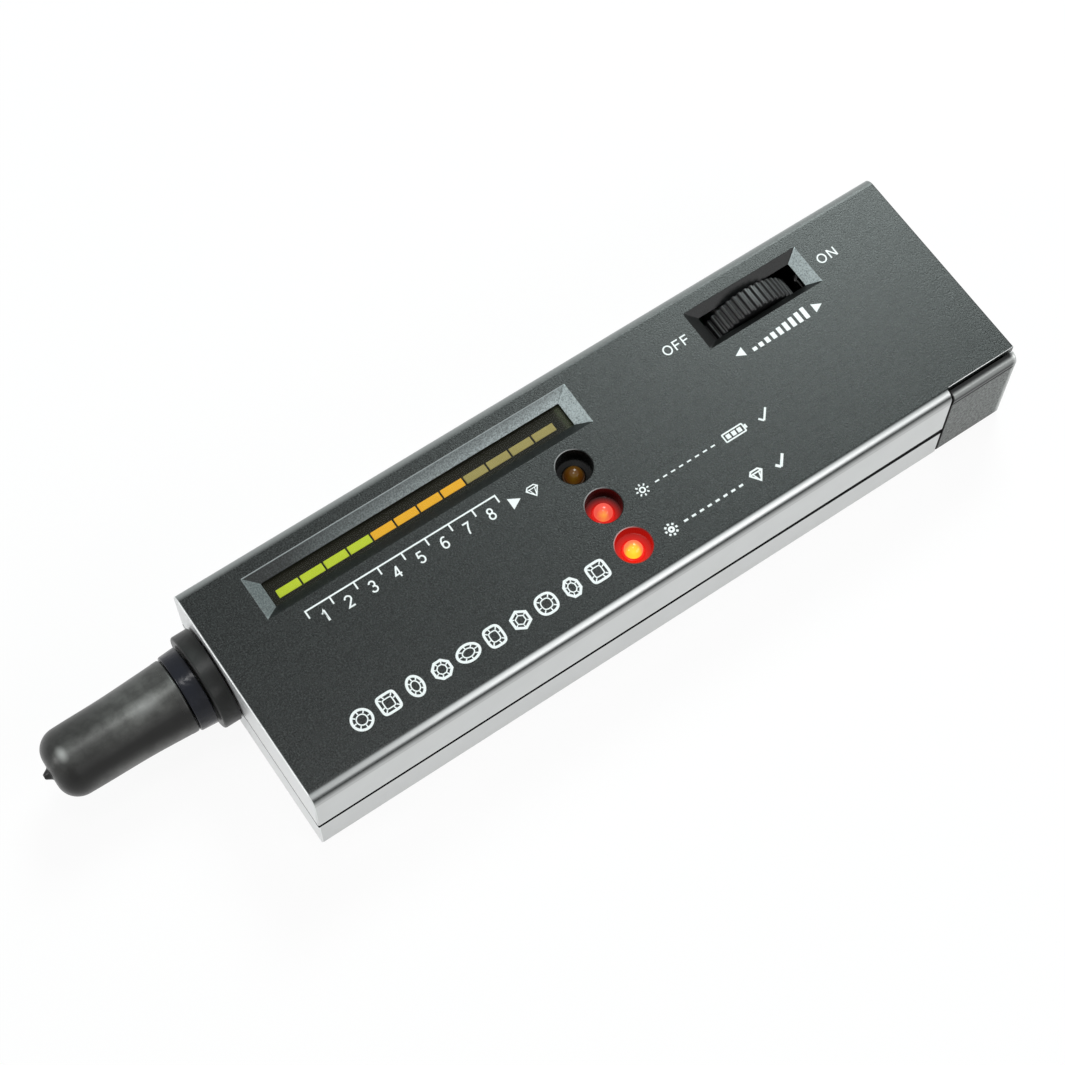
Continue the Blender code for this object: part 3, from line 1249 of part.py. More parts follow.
def least_gap(points, radius, points_a_turn):
    """Clear distance between a wire's turns, over points at least half a turn apart."""
    least = math.inf
    for index, point in enumerate(points):
        for other in points[index + points_a_turn // 2 :]:
            least = min(least, math.dist(point, other))
    return least - 2 * radius


def make_probe_leads():
    """Two wires from the contact block to the board."""
    for index in range(PROBE_LEAD_COUNT):
        y = NOSE_Y - PROBE_LEAD_SIDE - index * PROBE_LEAD_SIDE_STEP
        reach = PROBE_LEAD_REACH + index * PROBE_LEAD_REACH_STEP
        start = (PROBE_LEAD_START_X, y, NOSE_HEIGHT + PROBE_LEAD_RISE - index * PROBE_LEAD_RISE_STEP)
        end = (PROBE_LEAD_START_X + reach, y - PROBE_LEAD_SPREAD, BOARD_TOP + SEAT_GAP)
        route = smooth_path(start, (reach, 0, 0), end, (0, 0, -reach / 2), LEAD_POINTS)
        tube(f"probe_lead_{index + 1}", route, PROBE_LEAD_RADIUS, "lead_black", 2)


def cap_outside():
    """Outside of the cap from the mouth forwards: a slight flare, a long taper, a dome and the drip nub."""
    mouth = -CAP_MOUTH
    end = mouth - CAP_LENGTH
    dome = end + CAP_DOME_LENGTH
    points = [(mouth, CAP_MOUTH_RADIUS - CAP_LIP_ROUND), (mouth - CAP_LIP_LENGTH, CAP_MOUTH_RADIUS)]
    points += [(mouth - CAP_FLARE_LENGTH, (CAP_MOUTH_RADIUS + CAP_MIDDLE_RADIUS) / 2)]
    points += [(mouth - CAP_LENGTH / 2, CAP_MIDDLE_RADIUS)]
    for step in range(CAP_DOME_STEPS + 1):
        turn = math.pi / 2 * step / CAP_DOME_STEPS
        radius = CAP_DOME_FLAT + (CAP_END_RADIUS - CAP_DOME_FLAT) * math.cos(turn)
        points.append((dome - CAP_DOME_LENGTH * math.sin(turn), radius))
    points += [(end, CAP_NUB_RADIUS), (end - CAP_NUB_LENGTH, CAP_NUB_RADIUS * CAP_NUB_END_SHARE)]
    points += [(end - CAP_NUB_LENGTH, 0)]
    return points


def make_cap(axis):
    """The soft cap: its hollow has a rounded end and widens to the bore that sits on the grip."""
    mouth = -CAP_MOUTH
    inner_end = mouth - CAP_LENGTH + CAP_END_WALL
    bore = GRIP_RADIUS + SEAT_GAP
    narrow = CAP_END_RADIUS - CAP_DOME_WALL
    corner = (inner_end + CAP_INNER_CORNER, narrow - CAP_INNER_CORNER)
    profile = [(inner_end, 0)]
    profile += reversed(arc(corner, CAP_INNER_CORNER, 1, 2, CAP_INNER_STEPS))
    profile += [(-GRIP_END - SEAT_GAP, bore), (mouth, bore)]
    profile += cap_outside()
    node_from("probe_cap", turned(profile, NOSE_STEPS), "vinyl", parent=axis, smooth=True)


def main():
    clear_scene()
    make_top_shell()
    make_bottom_shell()
    make_battery_cover()
    make_window()
    make_bars()
    make_lamps()
    make_thumbwheel()
    make_volume_control()
    make_board()
    make_chip("bar_driver_chip", DRIVER_CHIP_X, DRIVER_CHIP_PINS)
    make_chip("amplifier_chip", AMPLIFIER_CHIP_X, AMPLIFIER_CHIP_PINS)
    make_round_parts()
    make_battery()
    make_snap()
    make_screws()
    axis = nose_axis()
    make_rings(axis)
    make_barrel(axis)
    make_probe(axis)
    make_probe_leads()
    make_cap(axis)


main()
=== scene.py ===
"""Looks of the hand-held diamond tester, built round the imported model.

The frame's axes hold here too: +X runs from the probe to the rear, +Y to the side of the thumbwheel and
the light bars, +Z up. Sizes are in millimetres times MM, and every piece is built where it stands.
"""

import math

import bmesh
import bpy
import numpy as np
from mathutils import Matrix, Vector


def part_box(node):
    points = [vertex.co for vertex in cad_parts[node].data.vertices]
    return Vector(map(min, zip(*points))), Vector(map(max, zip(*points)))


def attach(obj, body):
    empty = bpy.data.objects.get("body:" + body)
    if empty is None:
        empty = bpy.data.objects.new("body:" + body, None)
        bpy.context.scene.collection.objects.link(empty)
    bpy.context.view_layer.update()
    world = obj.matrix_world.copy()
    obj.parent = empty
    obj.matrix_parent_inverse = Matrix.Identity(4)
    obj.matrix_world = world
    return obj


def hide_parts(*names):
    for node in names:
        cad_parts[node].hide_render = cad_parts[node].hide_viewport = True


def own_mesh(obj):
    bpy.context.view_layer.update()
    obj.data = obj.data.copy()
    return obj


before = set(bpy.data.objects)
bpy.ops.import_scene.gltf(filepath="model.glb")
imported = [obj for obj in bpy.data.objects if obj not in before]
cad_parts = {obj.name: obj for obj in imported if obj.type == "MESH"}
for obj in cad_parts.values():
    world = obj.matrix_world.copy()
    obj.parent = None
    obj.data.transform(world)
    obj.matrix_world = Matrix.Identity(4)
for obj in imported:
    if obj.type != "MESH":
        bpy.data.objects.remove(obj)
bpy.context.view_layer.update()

MM = 0.001
TURN = 2 * math.pi
QUARTER = math.pi / 2

# The housing as packed, with the skin's small set-in from the solids that it is cut from
SKIN = 0.02 * MM
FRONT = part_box("top_shell")[0].x
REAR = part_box("top_shell")[1].x
HALF_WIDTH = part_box("top_shell")[1].y
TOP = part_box("top_shell")[1].z - SKIN
SEAM_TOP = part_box("top_shell")[0].z
SEAM_LOW = SEAM_TOP - 0.3 * MM
CASE_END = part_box("bottom_shell")[1].x
COVER_START = CASE_END + 0.3 * MM
INNER_HALF = 18.5 * MM
CEILING = 18.35 * MM
EDGE_FILLET = 1.75 * MM
PLATE_HALF = HALF_WIDTH - EDGE_FILLET
SOFT_EDGE = 0.22 * MM
SEAM_EDGE = 0.12 * MM

# The seam's groove: places along X, and how far the lower case falls back under the seam there
SEAM_OPENING = ((-66.2, 0.04), (5.0, 0.18), (53.0, 0.75))
SEAM_DEPTH = 0.8 * MM
SEAM_RISE = 0.46 * MM
JOINT_GAP = 0.26 * MM

# Recesses in the top face: low and high corner, and the width of the slope along X and along Y
DISPLAY_PIT = ((-56.24, 8.26), (3.24, 16.16), (2.3, 1.7))
WHEEL_PIT = ((26.09, 8.33), (48.19, 15.89), (2.1, 1.4))
PIT_DEPTH = 1.4 * MM

# Lamps: place, radii, and the lens's parts below the tip
LAMP_X = -3.66 * MM
LAMP_SIDES = {"lamp_diamond": 3.41, "lamp_battery": -4.59, "lamp_ready": -12.59}
WELL_RADIUS = 2.975 * MM
LAMP_RADIUS = 1.5 * MM
LAMP_SEAT_DROP = 1.8 * MM
LAMP_FOOT_DROP = 4.8 * MM
LAMP_HOLE = 1.8 * MM

# Light in the lamps' wells: its colour, how far it reaches and the power by which it falls off
WELL_GLOW = {
    "lamp_diamond": ((0.0, 0.0, 0.0), 2.4, 1.0),
    "lamp_battery": ((0.72, 0.012, 0.008), 1.9, 1.5),
    "lamp_ready": ((0.86, 0.010, 0.005), 3.1, 1.0),
}
GLOW_SHIFT = (-0.22 * MM, -0.30 * MM)

# Lenses: name, slot, colour of the body, and of the glow from the middle to the rim
LENSES = {
    # The amber lamp is not lit: the dim glow of its lens is painted light.
    "lamp_diamond": ("amber_lamp", "lamp_amber", (0.07, 0.032, 0.005), (
        (0.0, (0.08, 0.042, 0.003)),
        (0.45, (0.045, 0.012, 0.001)),
        (0.8, (0.03, 0.014, 0.001)),
        (1.0, (0.010, 0.003, 0.001)),
    )),
    "lamp_battery": ("battery_lamp", "lamp_red", (0.16, 0.010, 0.008), (
        (0.0, (0.95, 0.42, 0.05)),
        (0.22, (0.90, 0.20, 0.06)),
        (0.42, (0.84, 0.10, 0.065)),
        (0.92, (0.80, 0.11, 0.085)),
        (1.0, (0.62, 0.008, 0.005)),
    )),
    "lamp_ready": ("ready_lamp", "lamp_red", (0.16, 0.010, 0.008), (
        (0.0, (0.95, 0.76, 0.04)),
        (0.34, (0.95, 0.60, 0.03)),
        (0.56, (0.86, 0.26, 0.07)),
        (0.92, (0.82, 0.17, 0.11)),
        (1.0, (0.82, 0.012, 0.006)),
    )),
}

# Nose: its axis, and the two rings' names, ends, radii and rounded rims in millimetres from the front face
NOSE_Y = 9.34 * MM
NOSE_Z = 10.0 * MM
RING_BORE = 4.5
RINGS = (
    ("collar_ring", "nose_collar", "collar", (0.3, 3.3), (8.1, 8.1), (0.15, 0.4)),
    ("slim_ring", "nose_ring", "ring", (3.6, 6.5), (6.7, 6.5), (0.12, 0.35)),
)

# Printed marks on the top face: the ink, and the scale beside the light bars in millimetres
INK = 0.02 * MM
SCALE_START = -51.0
SCALE_PITCH = 4.298


def lamp_spot(node):
    """Place of a lamp in plan, and the height of its tip."""
    return LAMP_X, LAMP_SIDES[node] * MM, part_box(node)[1].z


def middle(node):
    """Centre of a CAD node's box."""
    low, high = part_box(node)
    return (low + high) / 2


class Wire:
    """A value or a colour on its way through a material. Arithmetic on values adds their Math nodes."""

    def __init__(self, nodes, socket):
        self.nodes = nodes
        self.socket = socket

    def math(self, operation, *values):
        return self.nodes.node("ShaderNodeMath", {"operation": operation}, dict(enumerate(values)))

    def __add__(self, other):
        return self.math("ADD", self, other)

    def __sub__(self, other):
        return self.math("SUBTRACT", self, other)

    def __rsub__(self, other):
        return self.math("SUBTRACT", other, self)

    def __mul__(self, other):
        return self.math("MULTIPLY", self, other)

    def __truediv__(self, other):
        return self.math("DIVIDE", self, other)

    def __rtruediv__(self, other):
        return self.math("DIVIDE", other, self)

    def __pow__(self, other):
        return self.math("POWER", self, other)

    def __abs__(self):
        return self.math("ABSOLUTE", self)

    __radd__ = __add__
    __rmul__ = __mul__

    def least(self, other):
        return self.math("MINIMUM", self, other)

    def most(self, other):
        return self.math("MAXIMUM", self, other)

    def step(self, low, high):
        """Rises smoothly from 0 at low to 1 at high."""
        sockets = {"Value": self, "From Min": low, "From Max": high}
        return self.nodes.node("ShaderNodeMapRange", {"interpolation_type": "SMOOTHSTEP"}, sockets)


class Nodes:
    """The nodes of a material or a world: each one comes from node(), and close() ends them."""

    def __init__(self, held):
        held.use_nodes = True
        self.held = held
        self.tree = held.node_tree
        self.tree.nodes.clear()

    def node(self, kind, settings, sockets, output=0):
        """Adds a node, with its settings first, then the values or wires of its sockets."""
        made = self.tree.nodes.new(kind)
        for key, value in settings.items():
            if key == "stops":
                self.set_stops(made.color_ramp, value)
            else:
                setattr(made, key, value)
        for key, value in sockets.items():
            if isinstance(value, Wire):
                self.tree.links.new(value.socket, made.inputs[key])
            else:
                made.inputs[key].default_value = value
        return Wire(self, made.outputs[output]) if made.outputs else None

    def set_stops(self, ramp, stops):
        while len(ramp.elements) < len(stops):
            ramp.elements.new(1)
        for element, (position, colour) in zip(ramp.elements, stops):
            element.position = position
            element.color = (*colour, 1)

    def close(self, shader, kind="ShaderNodeOutputMaterial"):
        self.node(kind, {}, {"Surface": shader})
        return self.held


class Finish(Nodes):
    """A material in the making, with the place on the object as x, y and z. surface() closes it."""

    def __init__(self, name):
        super().__init__(bpy.data.materials.new(name))
        self.place = self.node("ShaderNodeTexCoord", {}, {}, "Object")
        self.x, self.y, self.z = (
            self.node("ShaderNodeSeparateXYZ", {}, {0: self.place}, axis) for axis in "XYZ"
        )

    def away(self, x, y, along=1.0, across=1.0):
        """Distance in plan from a place, with each direction counted so many times over."""
        return (((self.x - x) * along) ** 2.0 + ((self.y - y) * across) ** 2.0) ** 0.5

    def noise(self, size, detail=2.0, roughness=0.5, stretch=(1, 1, 1)):
        """Noise between 0 and 1 whose lumps are about size across, longer where stretch is above 1."""
        scale = tuple(1 / (size * s) for s in stretch)
        spot = self.node("ShaderNodeMapping", {}, {"Vector": self.place, "Scale": scale})
        sockets = {"Vector": spot, "Scale": 1.0, "Detail": detail, "Roughness": roughness}
        return self.node("ShaderNodeTexNoise", {}, sockets)

    def blend(self, share, first, second):
        """Mixes two colours: all of first at 0, all of second at 1."""
        sockets = {0: share, 6: self.colour(first), 7: self.colour(second)}
        return self.node("ShaderNodeMix", {"data_type": "RGBA"}, sockets, 2)

    def colour(self, value):
        return value if isinstance(value, Wire) else (*value, 1)

    def ramp(self, value, *stops):
        """Colour that runs through stops of a place and a colour."""
        return self.node("ShaderNodeValToRGB", {"stops": stops}, {0: value})

    def curve(self, value, *stops):
        """Value that runs through stops of a place and a value."""
        return self.ramp(value, *((place, (level,) * 3) for place, level in stops))

    def bump(self, height, depth, strength=1.0):
        sockets = {"Strength": strength, "Distance": depth, "Height": height}
        return self.node("ShaderNodeBump", {}, sockets, "Normal")

    def surface(self, colour, roughness, metallic=0.0, bump=None, **constants):
        """Closes the material with a Principled shader. Constants are named as its sockets."""
        sockets = {"Base Color": self.colour(colour), "Roughness": roughness, "Metallic": metallic}
        if bump is not None:
            sockets["Normal"] = bump
        for key, value in constants.items():
            sockets[key.replace("_", " ")] = value
        return self.close(self.node("ShaderNodeBsdfPrincipled", {}, sockets))


# Finishes


def case_finish():
    """Charcoal plastic: spark-textured on the top, smoother in the recesses, satin on the sides, whose pale
    colour is a painted reflection.

    Along the rounded long edges a painted highlight band lies over a thin painted dark line. The recesses'
    slopes and the lamp wells' lips get painted highlights. The seam's groove, the wells and the wheel's
    recess get painted shade, and the wells round a lit lamp get its painted red light.
    """
    f = Finish("charcoal_case")
    grain = f.noise(0.26 * MM, 3.0, 0.7)
    cloud = f.noise(6 * MM, 3.0)
    rub = f.noise(1.1 * MM, 4.0, 0.65, (4, 1, 1))
    gap = gap_zone(f)
    display, left, right, far = pit_zones(f, DISPLAY_PIT)
    wheel, _, wheel_right, _ = pit_zones(f, WHEEL_PIT)
    pits = display.most(wheel)
    # Painted reflection on the recesses' slopes: faint on the left, strong on the right, rising from front to
    # rear on the far slope.
    along = (f.x - FRONT) / (REAR - FRONT)
    rise = f.curve(along, (0.075, 0.0), (0.13, 0.035), (0.18, 0.16), (0.29, 0.31), (0.45, 0.44), (0.53, 0.56))
    slope = (left * 0.25).most(right.most(wheel_right) * 0.82).most(far * rise)
    slope = slope * (grain.step(0.3, 0.7) * 0.9 + 0.55)
    # Painted highlight line along the display recess's far top edge.
    edge = (f.z.step(TOP - 0.13 * MM, TOP - 0.05 * MM) * far_line(f, DISPLAY_PIT)) * 0.5
    slope = slope.most(edge)
    well, lip, glow = well_zones(f)
    # Painted reflection on the sides, the front face and the long edges; the mask also makes them satin.
    satin_and_painted_reflection, bright = satin_zones(f)
    # Not in the seam's groove; joined by the painted highlights on the slopes and the wells' lips.
    satin_and_painted_reflection = (satin_and_painted_reflection * (1 - gap)).most(slope).most(lip * 0.6)
    spark = ((0.36, (0.002, 0.0027, 0.0026)), (0.5, (0.007, 0.0091, 0.0087)), (0.66, (0.032, 0.037, 0.036)))
    # Painted reflection's colours: grey on the sides, palest on the near band and front, blue-grey on slopes.
    pale = f.blend(cloud, (0.57, 0.58, 0.577), (0.63, 0.64, 0.637))
    pale = f.blend(pits, f.blend(bright, pale, (0.86, 0.87, 0.87)), (0.44, 0.50, 0.505))
    colour = f.blend(satin_and_painted_reflection, f.ramp(grain, *spark), pale)
    # Painted shade: the seam's groove and joint, deep in the lamp wells, and the wheel's recess but its right
    # slope.
    shade = gap.most(well * 0.8).most(wheel * (1 - wheel_right) * 0.8)
    colour = f.blend(shade, colour, (0.002, 0.002, 0.002))
    rough = 0.20 + satin_and_painted_reflection * 0.11 + pits * 0.10 + rub * 0.05 + grain * 0.10
    bump = f.bump(grain * (1 - satin_and_painted_reflection * 0.7 - well * 0.8), 0.05 * MM, 0.6)
    # The emission is the lit lamps' painted red light in their wells.
    settings = {"Emission_Color": glow, "Emission_Strength": 1.0, "Specular_IOR_Level": 0.24}
    return f.surface(colour, rough, satin_and_painted_reflection * 0.5, bump, **settings)


def satin_zones(f):
    """Painted reflection on the outside: how pale it is, and where it is palest. Pale: the front face with a
    painted highlight line along its top edge, the sides, and a painted highlight band on each long edge,
    placed by the share of the rounding that is passed across it; on the near side the band lies over a
    painted dark line and dims towards both ends. Also a painted highlight line along the roof plate's near
    edge over the
    cover. Palest: the near band and the front face.
    """
    outer = abs(f.y).step(PLATE_HALF, PLATE_HALF + 0.05 * MM)
    over = (abs(f.y) - PLATE_HALF) / EDGE_FILLET
    # Across the near rounding: painted highlight band, painted dark line, then the pale side.
    near_stops = (
        (0.0, 0.0), (0.09, 0.01), (0.16, 0.16), (0.27, 0.64), (0.39, 0.86), (0.50, 0.80), (0.60, 0.60),
        (0.71, 0.32), (0.79, 0.04), (0.85, 0.17), (0.91, 0.42), (0.97, 0.60), (0.995, 0.78),
    )
    far_stops = (
        (0.0, 0.02), (0.13, 0.12), (0.26, 0.26), (0.38, 0.35),
        (0.5, 0.40), (0.70, 0.43), (0.94, 0.46), (0.985, 1.0),
    )
    far = f.y.step(-MM, MM)
    on_band = over.step(0.8, 0.7)
    # The near band's painted highlight is dimmer towards the front and the rear.
    ahead = f.x.step(-28 * MM, -66 * MM) * on_band
    behind = f.x.step(10 * MM, 52 * MM) * on_band
    down = f.z.step(TOP - EDGE_FILLET + 0.1 * MM, TOP - EDGE_FILLET - 1.1 * MM)
    near = f.curve(over, *near_stops).most(down) * (1 - ahead * 0.42 - behind * 0.2)
    band = f.curve(over, *far_stops) * far + near * (1 - far)
    # Painted reflection on the front face, and a painted highlight line along the top's front edge.
    front = f.x.step(FRONT + 0.34 * MM, FRONT + 0.16 * MM)
    # Painted highlight line along the roof plate's near edge over the cover.
    beside = f.y.step(-PLATE_HALF + 0.12 * MM, -PLATE_HALF + 0.05 * MM)
    lip = beside * f.z.step(TOP - 0.2 * MM, TOP - 0.1 * MM) * f.x.step(CASE_END, COVER_START)
    bright = over.step(0.75, 0.6) * (1 - far) * outer
    return (outer * band).most(front).most(lip), bright.most(front)


def gap_zone(f):
    """Where painted shade falls: 1 in the groove along the seam, which opens towards the cover, and at the
    joint with the cover.
    """
    length = CASE_END - FRONT
    widest = SEAM_OPENING[-1][1]
    stops = [(min(max((x * MM - FRONT) / length, 0.0), 1.0), fall / widest) for x, fall in SEAM_OPENING]
    low = SEAM_LOW - f.curve((f.x - FRONT) / length, *stops) * (widest * MM)
    high = SEAM_TOP + SEAM_RISE
    seam = f.z.step(high + 0.06 * MM, high) * (f.z - low).step(-0.10 * MM, -0.02 * MM)
    end = CASE_END - JOINT_GAP
    joint = f.x.step(end - 0.08 * MM, end) * f.z.step(CEILING + 0.4 * MM, CEILING)
    return seam.most(joint * abs(f.y).step(18.2 * MM, 18.3 * MM))


def well_zones(f):
    """Inside of the lamp wells, for painted shade; a painted highlight on the lit side of their lips; and the
    red light that a lit lamp casts round itself, painted on the case, which falls off with the distance from
    its lens.
    """
    well, lip, glow = 0.0, 0.0, (0.0, 0.0, 0.0)
    for node, (shine, reach, power) in WELL_GLOW.items():
        x, y, tip = lamp_spot(node)
        inside = f.away(x, y).step(WELL_RADIUS + 0.22 * MM, WELL_RADIUS + 0.02 * MM)
        inside = inside * f.z.step(11 * MM, 12 * MM)
        deep = inside * f.z.step(TOP - 0.05 * MM, TOP - 0.2 * MM)
        aside = f.away(x + GLOW_SHIFT[0], y + GLOW_SHIFT[1])
        rise = f.z - (tip - LAMP_RADIUS)
        gone = ((aside ** 2.0 + rise ** 2.0) ** 0.5 - LAMP_RADIUS).most(0.0)
        light = (1 - gone / (reach * MM)).most(0.0) ** power * inside
        well = deep.most(well)
        # Painted highlight on each lip's side towards the far side and the front.
        lit_side = ((f.y - y) * 0.97 - (f.x - x) * 0.24).step(0.8 * MM, 2.8 * MM)
        lip = ((inside - deep) * lit_side).most(lip)
        glow = f.blend(light, glow, shine)
    return well, lip, glow


def pit_zones(f, corners):
    """Inside of a recess in plan, and its left, right and far slopes: each place belongs to the slope whose
    edge is nearest, with the distance counted in widths of that slope.
    """
    low, high, bevel = ([float(v * MM) for v in corner] for corner in corners)
    left = (f.x - low[0]) / bevel[0]
    right = (high[0] - f.x) / bevel[0]
    near = (f.y - low[1]) / bevel[1]
    far = (high[1] - f.y) / bevel[1]
    inside = left.least(right).least(near).least(far).step(-0.04, 0.0) * f.z.step(CEILING - MM, CEILING)
    sloped = inside * f.z.step(TOP - PIT_DEPTH - 0.06 * MM, TOP - PIT_DEPTH)
    on_left = (near.least(far) - left).step(-0.03, 0.03) * sloped
    on_right = (near.least(far) - right).step(-0.03, 0.03) * sloped
    # The far slope's share is weaker towards its top edge: its painted highlight darkens there.
    on_far = (left.least(right).least(near) - far).step(-0.03, 0.03) * sloped * (far.least(1.0) * 0.55 + 0.62)
    return inside, on_left, on_right, on_far


def far_line(f, corners):
    """1 along the far edge of a recess."""
    (low_x, _), (high_x, high_y), _ = corners
    along = (f.x - low_x * MM).least(high_x * MM - f.x).step(-0.05 * MM, 0.05 * MM)
    return along * abs(f.y - high_y * MM).step(0.10 * MM, 0.06 * MM)


def cover_finish():
    """Dark plastic: leathery texture on its flat walls, satin on the rounded rail and the ridge, with painted
    highlight bands along the rail, a painted highlight down the rear edge and painted shade in the joint.
    """
    f = Finish("textured_cover")
    outer = abs(f.y).step(18.0 * MM, 18.3 * MM)
    # Painted highlight bands up the rail: a thin line near the ridge, a blurred band on the rounding, dark
    # under the lip. The same mask makes the rail metallic.
    on_rail = (f.z - 15.95 * MM) / (3.15 * MM)
    stops = (
        (0.0, 0.0), (0.28, 0.0), (0.32, 0.85), (0.40, 0.08),
        (0.56, 0.06), (0.70, 0.9), (0.84, 1.0), (0.94, 0.0),
    )
    painted_sheen = f.curve(on_rail, *stops) * outer
    panel = f.z.step(16.5 * MM, 16.35 * MM)
    # Painted highlight down the rounded rear edge.
    edge = f.x.step(REAR - 1.15 * MM, REAR - 0.25 * MM) * outer
    # Painted shade in the joint with the case.
    joint = f.x.step(COVER_START + 0.24 * MM, COVER_START + 0.14 * MM)
    grain = f.noise(0.42 * MM, 4.0, 0.7)
    spots = f.noise(1.6 * MM, 3.0)
    rail = f.blend(painted_sheen, (0.006, 0.007, 0.007), (0.26, 0.27, 0.265))
    leather = f.ramp(grain, (0.36, (0.060, 0.064, 0.062)), (0.64, (0.235, 0.245, 0.238)))
    colour = f.blend(edge * 0.85, f.blend(panel, rail, leather), (0.60, 0.61, 0.60))
    colour = f.blend(joint, colour, (0.003, 0.003, 0.003))
    rough = panel * 0.2 + 0.3 + grain * 0.1 + spots * 0.05
    bump = f.bump(grain * (panel * 0.95 + 0.05), 0.09 * MM, 0.6)
    metal = (painted_sheen * (1 - panel)).most(edge) * 0.5 * (1 - joint)
    return f.surface(colour, rough, metal, bump, Specular_IOR_Level=0.28)


def window_finish():
    """Smoked acrylic that lets the light bars through, a little paler past the end of their frame."""
    f = Finish("smoked_window")
    haze = f.noise(3 * MM, 3.0)
    frame_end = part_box("bargraph_frame")[1].x
    border = f.x.step(frame_end - 0.9 * MM, frame_end + 0.1 * MM)
    colour = f.blend(haze, (0.018, 0.017, 0.011), (0.030, 0.028, 0.018))
    colour = f.blend(border, colour, (0.125, 0.135, 0.082))
    bump = f.bump(haze, 0.004 * MM, 0.3)
    return f.surface(colour, haze * 0.06 + 0.12, 0.0, bump, Alpha=0.30, Specular_IOR_Level=0.3)


def frame_finish():
    """Matt black of the light bars' frame, a little paler along its long sides."""
    f = Finish("bar_frame")
    cloud = f.noise(2 * MM, 3.0)
    low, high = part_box("bargraph_frame")
    reach = (high.y - low.y) / 2
    side = abs(f.y - (low.y + high.y) / 2).step(reach - 1.9 * MM, reach - 0.7 * MM)
    colour = f.blend(cloud, (0.004, 0.004, 0.003), (0.009, 0.008, 0.006))
    colour = f.blend(side, colour, (0.045, 0.048, 0.032))
    return f.surface(colour, cloud * 0.1 + 0.55, 0.0, f.bump(cloud, 0.01 * MM, 0.3), Specular_IOR_Level=0.15)


def bar_finish(name, dim, bright, strength):
    """A moulded light bar that glows in its own colour, a little unevenly. An unlit bar's glow is painted
    light.
    """
    f = Finish(name)
    speck = f.noise(0.12 * MM, 3.0, 0.6)
    glow = f.noise(1.4 * MM, 1.0)
    colour = f.blend(glow * 0.7 + speck * 0.3, dim, bright)
    bump = f.bump(speck, 0.01 * MM, 0.4)
    settings = {"Emission_Color": colour, "Emission_Strength": strength}
    return f.surface(colour, speck * 0.2 + 0.35, 0.0, bump, **settings)


def lamp_finish(name, node, body, stops):
    """A lamp's moulded lens: its glow falls off from the die near the axis to the skin."""
    f = Finish(name)
    x, y, tip = lamp_spot(node)
    die_shift = 2.4
    spread = f.away(x + die_shift * GLOW_SHIFT[0], y + die_shift * GLOW_SHIFT[1]) / (LAMP_RADIUS * 1.65)
    cloud = f.noise(0.5 * MM, 2.0)
    glow = f.ramp(spread + (cloud - 0.5) * 0.3, *stops)
    below = (tip - f.z).most(0.0)
    glow = f.blend(below.step(1.45 * MM, 1.7 * MM), glow, stops[-1][1])
    colour = f.blend(cloud, body, tuple(0.7 * c for c in body))
    settings = {"Emission_Color": glow, "Emission_Strength": 1.0, "Specular_IOR_Level": 0.3}
    return f.surface(colour, cloud * 0.1 + 0.13, 0.0, None, **settings)


def rubber_finish():
    """Black moulded wheel, with a faint grey bloom in patches."""
    f = Finish("wheel_black")
    speck = f.noise(0.1 * MM, 4.0, 0.7)
    dust = f.noise(2.5 * MM, 3.0)
    colour = f.blend(speck * dust, (0.006, 0.006, 0.006), (0.034, 0.034, 0.035))
    bump = f.bump(speck, 0.015 * MM, 0.4)
    return f.surface(colour, speck * 0.16 + 0.30, 0.0, bump, Specular_IOR_Level=0.4)


def vinyl_finish():
    """Soft dipped vinyl: black, with a painted grey highlight along the top that is strongest in a patch
    behind the mouth and in a spot on the dome, a painted reflection on its lower flank that fades out towards
    the dome, slow waves and fine pores.
    """
    f = Finish("dipped_vinyl")
    wave = f.noise(5.5 * MM, 1.0, 0.5, (1.6, 1, 1))
    cloud = f.noise(2.2 * MM, 4.0, 0.6)
    pores = f.noise(0.12 * MM, 2.0, 0.6)
    radius = 6.0 * MM
    aside = (f.y - NOSE_Y) / radius * 0.5 + 0.5
    stops = (
        (0.14, 0.0), (0.20, 0.12), (0.29, 0.42), (0.37, 0.50),
        (0.44, 0.95), (0.48, 0.80), (0.58, 0.36), (0.78, 0.34),
    )
    patch_x, spot_x = FRONT - 12.4 * MM, FRONT - 26.35 * MM
    # Painted highlight along the top, stronger behind the mouth.
    stripe = f.curve(aside, *stops) * f.z.step(NOSE_Z, NOSE_Z + 3 * MM)
    behind = abs(f.x - patch_x).step(10 * MM, 1 * MM) * 0.9 + 0.75
    above = f.z.step(NOSE_Z + 2 * MM, NOSE_Z + 4 * MM)
    # Painted highlight: a spot on the dome and a patch behind the mouth.
    spot = f.away(spot_x, NOSE_Y - 0.5 * MM, 1.0, 0.7).step(1.7 * MM, 0.0) * above
    patch = f.away(patch_x, NOSE_Y - 1.0 * MM, 0.55, 1.0).step(1.9 * MM, 0.0) * above
    # Painted reflection on the lower flank, fading out towards the dome.
    flank = f.z.step(NOSE_Z + 2.9 * MM, NOSE_Z - 0.2 * MM) * f.x.step(FRONT - 28 * MM, FRONT - 20 * MM) * 0.9
    painted_highlight = (stripe * behind).most(spot * 1.3).most(flank) * (cloud.step(0.25, 0.75) * 0.75 + 0.6)
    colour = f.blend(painted_highlight * 0.5, (0.006, 0.006, 0.0055), (0.21, 0.21, 0.20))
    # Brighter painted highlight in the middles of the spot and the patch.
    colour = f.blend((spot ** 2.5 * 0.85).most(patch * 0.33), colour, (0.43, 0.43, 0.42))
    bump = f.bump(wave + pores * 0.010, 0.6 * MM, 0.5)
    return f.surface(colour, cloud * 0.12 + 0.30, 0.0, bump, Specular_IOR_Level=0.30)


